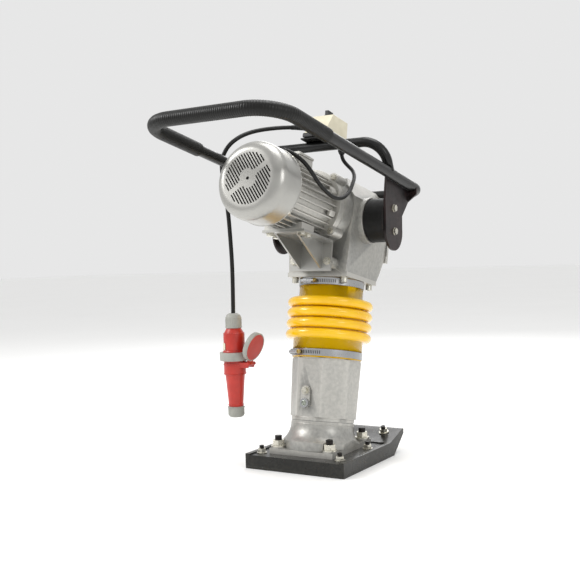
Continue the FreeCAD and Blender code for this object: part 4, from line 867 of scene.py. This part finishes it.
class RAMMER_OT_motor(bpy.types.Operator):
    """Finned motor, fan cowl, terminal box, gland and bracket"""
    bl_idname = "rammer.motor"
    bl_label = "Motor"

    def execute(self, context):
        sizes = context.scene.rammer_sizes
        refined("motor_frame", "cast", 0.7, angle=40, title="finned_frame")
        refined("motor_flange", "cast", 1.4, title="motor_end_flange")
        refined("rear_shield", "cast", 0.8, title="motor_rear_end")
        refined("fan_cowl", "sheet", 0.35, angle=40, title="fan_cowling")
        refined("terminal_box", "cast", 1.4, title="terminal_housing")
        refined("terminal_lid", "cast", 1.2, title="terminal_cover")
        refined("terminal_gland", "black", 0.5, title="terminal_gland_nut")
        refined("motor_bracket", "sheet", sizes.sheet_round, title="motor_support")
        refined("cooling_fan", "black", 0.5, title="fan_wheel")
        self.cowl_screws()
        self.cover_screws()
        self.cowl_bead()
        self.end_bosses()
        return {"FINISHED"}

    def cowl_screws(self):
        heads = []
        for angle in (45, 135, 225, 315):
            out, _ = spoke(angle, ACROSS, UP_LEG)
            place = on_leg(0, COWL_MOUTH, MOTOR_UP) + out * 0.0946
            heads.append(lathe([(0, 2.6), (2.4, 2.3), (4.3, 1.0), (4.6, 0), (0, 0)], place, out, 20))
        fitting(heads, "cowl_screws", "zinc", "housing", 40)

    def cover_screws(self):
        heads = [disc(3.4, 3.0, on_leg(across, ahead, 712.6), UP_LEG, 20, 0.5)
                 for across in (-34, 34) for ahead in (-268, -220)]
        fitting(heads, "terminal_screws", "zinc", "housing")

    def cowl_bead(self):
        """Rolled rim at the cowl's open end."""
        rolled = ring(94.9, 1.1, on_leg(0, COWL_MOUTH - 0.8, MOTOR_UP), AHEAD, 128, 12)
        dress(rolled, "cowl_rolled_rim", "sheet", "housing")

    def end_bosses(self):
        """Cast pads round the cowl's end of the frame."""
        pads = []
        for angle in (20, 160, 200, 340):
            out, side = spoke(angle, ACROSS, UP_LEG)
            axes = Matrix((out, AHEAD, side)).transposed()
            pads.append(brick((9, 26, 15), on_leg(0, -167, MOTOR_UP) + out * 0.0835, axes, 2.0))
        fitting(pads, "frame_pads", "cast", "housing", 40)


# ---- handle ------------------------------------------------------


class RAMMER_OT_handle(bpy.types.Operator):
    """Handle tube, ribbed grip, hoop, bracket plates and welds"""
    bl_idname = "rammer.handle"
    bl_label = "Handle"

    def execute(self, context):
        sizes = context.scene.rammer_sizes
        refined("handle_frame", "tube", 0.0, angle=50, title="handle_tube")
        refined("guard_hoop", "tube", 0.0, angle=50, title="hoop_tube")
        refined("left_bracket", "plate", sizes.sheet_round, title="left_plate")
        refined("right_bracket", "plate", sizes.sheet_round, title="right_plate")
        refined("buffer_bolts", "zinc", 0.5, title="plate_bolts")
        self.grip(sizes)
        self.welds()
        return {"FINISHED"}

    def grip(self, sizes):
        """Rubber sleeve with close ribs, from rail to rail round the rear bar."""
        corners = [on_leg(side * RAIL_OUT, ahead, RAIL_UP)
                   for side, ahead in ((1, GRIP_END), (1, REAR_BAR), (-1, REAR_BAR), (-1, GRIP_END))]
        line = bent_line(corners, [0, 0.080, 0.080, 0])
        total = line_length(line)
        count = int(total / (sizes.grip_pitch / 4))
        spots, radii = [], []
        for i in range(count + 1):
            way = total * i / count
            spots.append(spot_at(line, way))
            plain_end = min(way, total - way) < 0.006
            rib = sizes.grip_rib if i % 4 in (0, 1) and not plain_end else 0.0
            radii.append(sizes.grip_radius - rib)
        sleeve = sleeve_mesh("ribbed_grip", spots, radii)
        fitting([sleeve], "ribbed_grip", "cable", "handle", 50)
        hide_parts("handle_grip")

    def welds(self):
        """Weld beads round the hoop's feet and along the top of each bracket plate."""
        hoop, rail = 0.0138, 0.0146
        beads = []
        for side in (-1, 1):
            foot = on_leg(side * RAIL_OUT, -69, 719)
            along = (on_leg(side * RAIL_OUT, -109, 779) - on_leg(side * RAIL_OUT, -60, RAIL_UP)).normalized()
            for i in range(30):
                flat, _ = spoke(i * 12, ACROSS, AHEAD)
                drop = math.sqrt(max(rail ** 2 - (hoop * flat.x) ** 2, 0)) - rail
                place = foot + flat * hoop + UP_LEG * (drop - 0.001)
                beads.append(disc(2.3, 2.2, place, along, 8, 0.6))
            for i in range(40):
                place = on_leg(side * 172.2, -55 + i * 3.45, 694.5)
                beads.append(disc(2.2, 2.0, place, ACROSS * side + UP_LEG * 0.6, 8, 0.6))
        fitting(beads, "handle_weld_beads", "tube", "handle", 60)


# ---- switch ------------------------------------------------------


class RAMMER_OT_switch(bpy.types.Operator):
    """Switch box, base, knob, glands and mounting plate"""
    bl_idname = "rammer.switch"
    bl_label = "Switch"

    def execute(self, context):
        refined("switch_box", "cream", 2.4, title="switch_cover")
        refined("switch_base", "black", 1.6, title="switch_foot")
        refined("switch_plate", "tube", 0.8, title="switch_mount")
        refined("box_glands", "black", 0.5, title="cable_glands")
        refined("switch_knob", "black", 0.9, title="knob")
        self.knob_details()
        self.box_details()
        return {"FINISHED"}

    def knob_details(self):
        line = brick((1.6, 11, 0.6), on_leg(0, -69, 884.1), LEG_AXES, 0.2)
        dress(line, "knob_pointer", "cream", "knob")
        ribs = []
        for i in range(20):
            out, side = spoke(18 * i, ACROSS, AHEAD)
            axes = Matrix((out, side, UP_LEG)).transposed()
            ribs.append(brick((1.4, 1.8, 5.6), on_leg(0, KNOB_AHEAD, 868.2) + out * 0.0139, axes, 0.3))
        fitting(ribs, "knob_ribs", "black", "knob")
        bezel = lathe([(15.5, 0), (19.0, 0), (19.0, 1.2), (18.2, 1.8), (15.5, 1.8), (15.5, 0)],
                      on_leg(0, KNOB_AHEAD, 863.9), UP_LEG, 48)
        fitting([bezel], "knob_bezel", "black", "handle", 40)

    def box_details(self):
        """Seal under the box, four cover screws and the cable's sleeve."""
        seal = brick((64.5, 122, 1.6), on_leg(0, -86, 806.4), LEG_AXES, 0.4)
        dress(seal, "switch_seal", "rubber", "handle")
        heads = [disc(2.6, 1.0, on_leg(side * 31.1, ahead, 814), ACROSS * side, 20, 0.25)
                 for side in (-1, 1) for ahead in (-128, -38)]
        fitting(heads, "switch_screws", "zinc", "handle")
        sleeve = tapered_sleeve(smooth_line(SUPPLY_ROUTE), 0.034, 0.0082, 0.0062)
        fitting([sleeve], "cable_sleeve", "cable", "handle", 50)


def tapered_sleeve(line, length, thick, thin, count=25):
    """A ringed rubber sleeve round the first stretch of a line, so that the cable can't kink at the gland."""
    stretch_end = next(i for i in range(2, len(line) + 1) if line_length(line[:i]) > length)
    total = line_length(line[:stretch_end])
    spots, radii = [], []
    for i in range(count):
        share = i / (count - 1)
        spots.append(spot_at(line, share * total))
        groove = 0.0007 if i % 4 == 2 and i < count - 3 else 0.0
        radii.append(thick + (thin - thick) * share - groove)
    return sleeve_mesh("sleeve", spots, radii)


# ---- plug --------------------------------------------------------

PLUG_X, PLUG_Y = -207, -84


def ridges(radius, low, high, count, deep, wide):
    """Upright ribs round one of the plug's grip nuts."""
    made = []
    for i in range(count):
        out, side = spoke(360 * i / count, EAST, NORTH)
        turn = Matrix((out, side, UPRIGHT)).transposed()
        place = Vector((PLUG_X, PLUG_Y, (low + high) / 2)) / 1000 + out * (radius / 1000)
        made.append(brick((deep * 2, wide, high - low), place, turn, 0.5))
    return made


class RAMMER_OT_plug(bpy.types.Operator):
    """Five-pin plug with its locking ring, coupler and hinged lid, hanging from the cable"""
    bl_idname = "rammer.plug"
    bl_label = "Plug"

    def execute(self, context):
        self.shells()
        self.nuts()
        self.collars()
        self.lid()
        return {"FINISHED"}

    def at(self, z):
        return Vector((PLUG_X, PLUG_Y, z)) / 1000

    def shells(self):
        refined("plug_body", "red", 0.6, title="plug_body_skin")
        refined("connector_body", "red", 0.9, title="connector_skin")
        axes = Matrix.Rotation(math.radians(-128), 3, "Z")
        out = axes @ EAST
        label = brick((0.5, 19, 19), self.at(306) + out * 0.0279, axes, 0.15)
        dress(label, "blank_label", "cream", "handle")

    def nuts(self):
        refined("plug_gland_nut", "grey", 0.8, title="plug_nut_skin")
        refined("connector_nut", "grey", 0.8, title="connector_nut_skin")
        refined("bayonet_ring", "grey", 1.0, title="plug_ring_skin")
        parts = ridges(20.6, 357, 378, 28, 0.9, 1.8)
        parts.append(ring(21.2, 1.5, self.at(356.5), UPRIGHT, 48))
        parts.append(ring(20.6, 1.2, self.at(381.5), UPRIGHT, 48))
        fitting(parts, "plug_sleeve", "grey", "handle", 40)
        ribs = ridges(38.4, 271.5, 288.5, 44, 0.5, 2.2)
        fitting(ribs, "ring_ribs", "grey", "ring", 40)
        low = ridges(20.8, 124, 143, 28, 0.8, 1.8) + [ring(21.6, 1.5, self.at(144.6), UPRIGHT, 48)]
        fitting(low, "coupler_nut_ribs", "grey", "connector", 40)

    def collars(self):
        """Moulded beads round the red bodies."""
        beads = [ring(26.6, 1.5, self.at(340.5), UPRIGHT), ring(28.1, 0.7, self.at(297.5), UPRIGHT)]
        fitting(beads, "plug_collars", "red", "handle")
        beads = [ring(19.6, 1.5, self.at(151), UPRIGHT), ring(29.4, 1.0, self.at(233.5), UPRIGHT),
                 ring(29.5, 0.8, self.at(258), UPRIGHT)]
        fitting(beads, "coupler_collars", "red", "connector")

    def lid(self):
        """Grey notched rim round the red lid, with a seal inside whose darker red is painted shade for the
        lid's hollow; it leans outwards, open.
        """
        refined("connector_lid", "red", 0.8, title="connector_lid_skin")
        lean = math.radians(20)
        outward = Vector((math.cos(lean), 0, -math.sin(lean)))
        upward = Vector((math.sin(lean), 0, math.cos(lean)))
        middle = Vector(((PLUG_X + 51) / 1000, PLUG_Y / 1000, 0.261)) + upward * 0.046
        rim = lathe([(34.6, -11.8), (38.4, -11.8), (38.6, -1.5), (37.6, 0.3), (35.2, 0.3), (34.6, -11.8)],
                    middle, outward, 72)
        notches = []
        for i in range(12):
            out, _ = spoke(30 * i, upward, NORTH)
            turn = Matrix((out, outward.cross(out), outward)).transposed()
            notches.append(brick((1.6, 6.5, 10.5), middle + out * 0.0381 - outward * 0.006, turn, 0.5))
        fitting([rim] + notches, "lid_rim", "grey", "lid", 40)
        # Seal disc over the lid's inside, with a lip at its rim; its darker red is painted shade.
        profile = [(0, -3.2), (33.4, -3.2), (33.4, -5.2), (30.5, -5.8), (28.5, -4.4), (0, -4.4), (0, -3.2)]
        seal = lathe(profile, middle, outward, 72)
        fitting([seal], "lid_seal_painted_shade", "shaded_red", "lid", 40)


# ---- plain nodes -------------------------------------------------


class RAMMER_OT_inner(bpy.types.Operator):
    """Finishes for the pieces inside: ram, crank, gears, rotor and springs"""
    bl_idname = "rammer.inner"
    bl_label = "Inner pieces"

    def execute(self, context):
        steel = ("piston", "piston_rod", "piston_nut", "gudgeon_pin", "connecting_rod", "crank_pin",
                 "spring_cap", "spring_cylinder", "rotor_shaft", "rotor_core", "stator_core",
                 "drive_pinion", "crank_gear", "ball_bearings")
        for node in steel:
            materials = frame["nodes"][node].data.materials
            materials.clear()
            materials.append(finish("steel"))
        self.springs()
        return {"FINISHED"}

    def springs(self):
        """Coils of the springs between the cylinder and the piston."""
        for node, lower_body, upper_body in (("lower_spring", "foot", "ram"),
                                             ("upper_spring", "ram", "foot")):
            coil = refined(node, "steel", title=node + "_coil", rides=False)
            heights = [(LEG.inverted() @ vertex.co).z * 1000 for vertex in coil.data.vertices]
            stretch(coil, lower_body, upper_body, min(heights), max(heights))


class RAMMER_PT_sidebar(bpy.types.Panel):
    bl_label = "Rammer"
    bl_idname = "RAMMER_PT_sidebar"
    bl_space_type = "VIEW_3D"
    bl_region_type = "UI"
    bl_category = "Rammer"

    def draw(self, context):
        for group in (context.scene.rammer_sizes, context.scene.rammer_colours):
            for key in group.__annotations__:
                self.layout.prop(group, key)
        for operator in OPERATORS:
            self.layout.operator(operator.bl_idname)


OPERATORS = (RAMMER_OT_stage, RAMMER_OT_cables, RAMMER_OT_foot, RAMMER_OT_housing, RAMMER_OT_motor,
             RAMMER_OT_handle, RAMMER_OT_switch, RAMMER_OT_plug, RAMMER_OT_inner)
CLASSES = (RammerSizes, RammerColours) + OPERATORS + (RAMMER_PT_sidebar,)


def register():
    for cls in CLASSES:
        bpy.utils.register_class(cls)
    bpy.types.Scene.rammer_sizes = bpy.props.PointerProperty(type=RammerSizes)
    bpy.types.Scene.rammer_colours = bpy.props.PointerProperty(type=RammerColours)


def unregister():
    del bpy.types.Scene.rammer_colours
    del bpy.types.Scene.rammer_sizes
    for cls in reversed(CLASSES):
        bpy.utils.unregister_class(cls)


def main():
    register()
    bpy.ops.rammer.stage()
    bpy.ops.rammer.cables()
    bpy.ops.rammer.foot()
    bpy.ops.rammer.housing()
    bpy.ops.rammer.motor()
    bpy.ops.rammer.handle()
    bpy.ops.rammer.switch()
    bpy.ops.rammer.plug()
    bpy.ops.rammer.inner()
    declare_supply()
    bpy.ops.object.select_all(action="DESELECT")


if __name__ == "__main__":
    main()
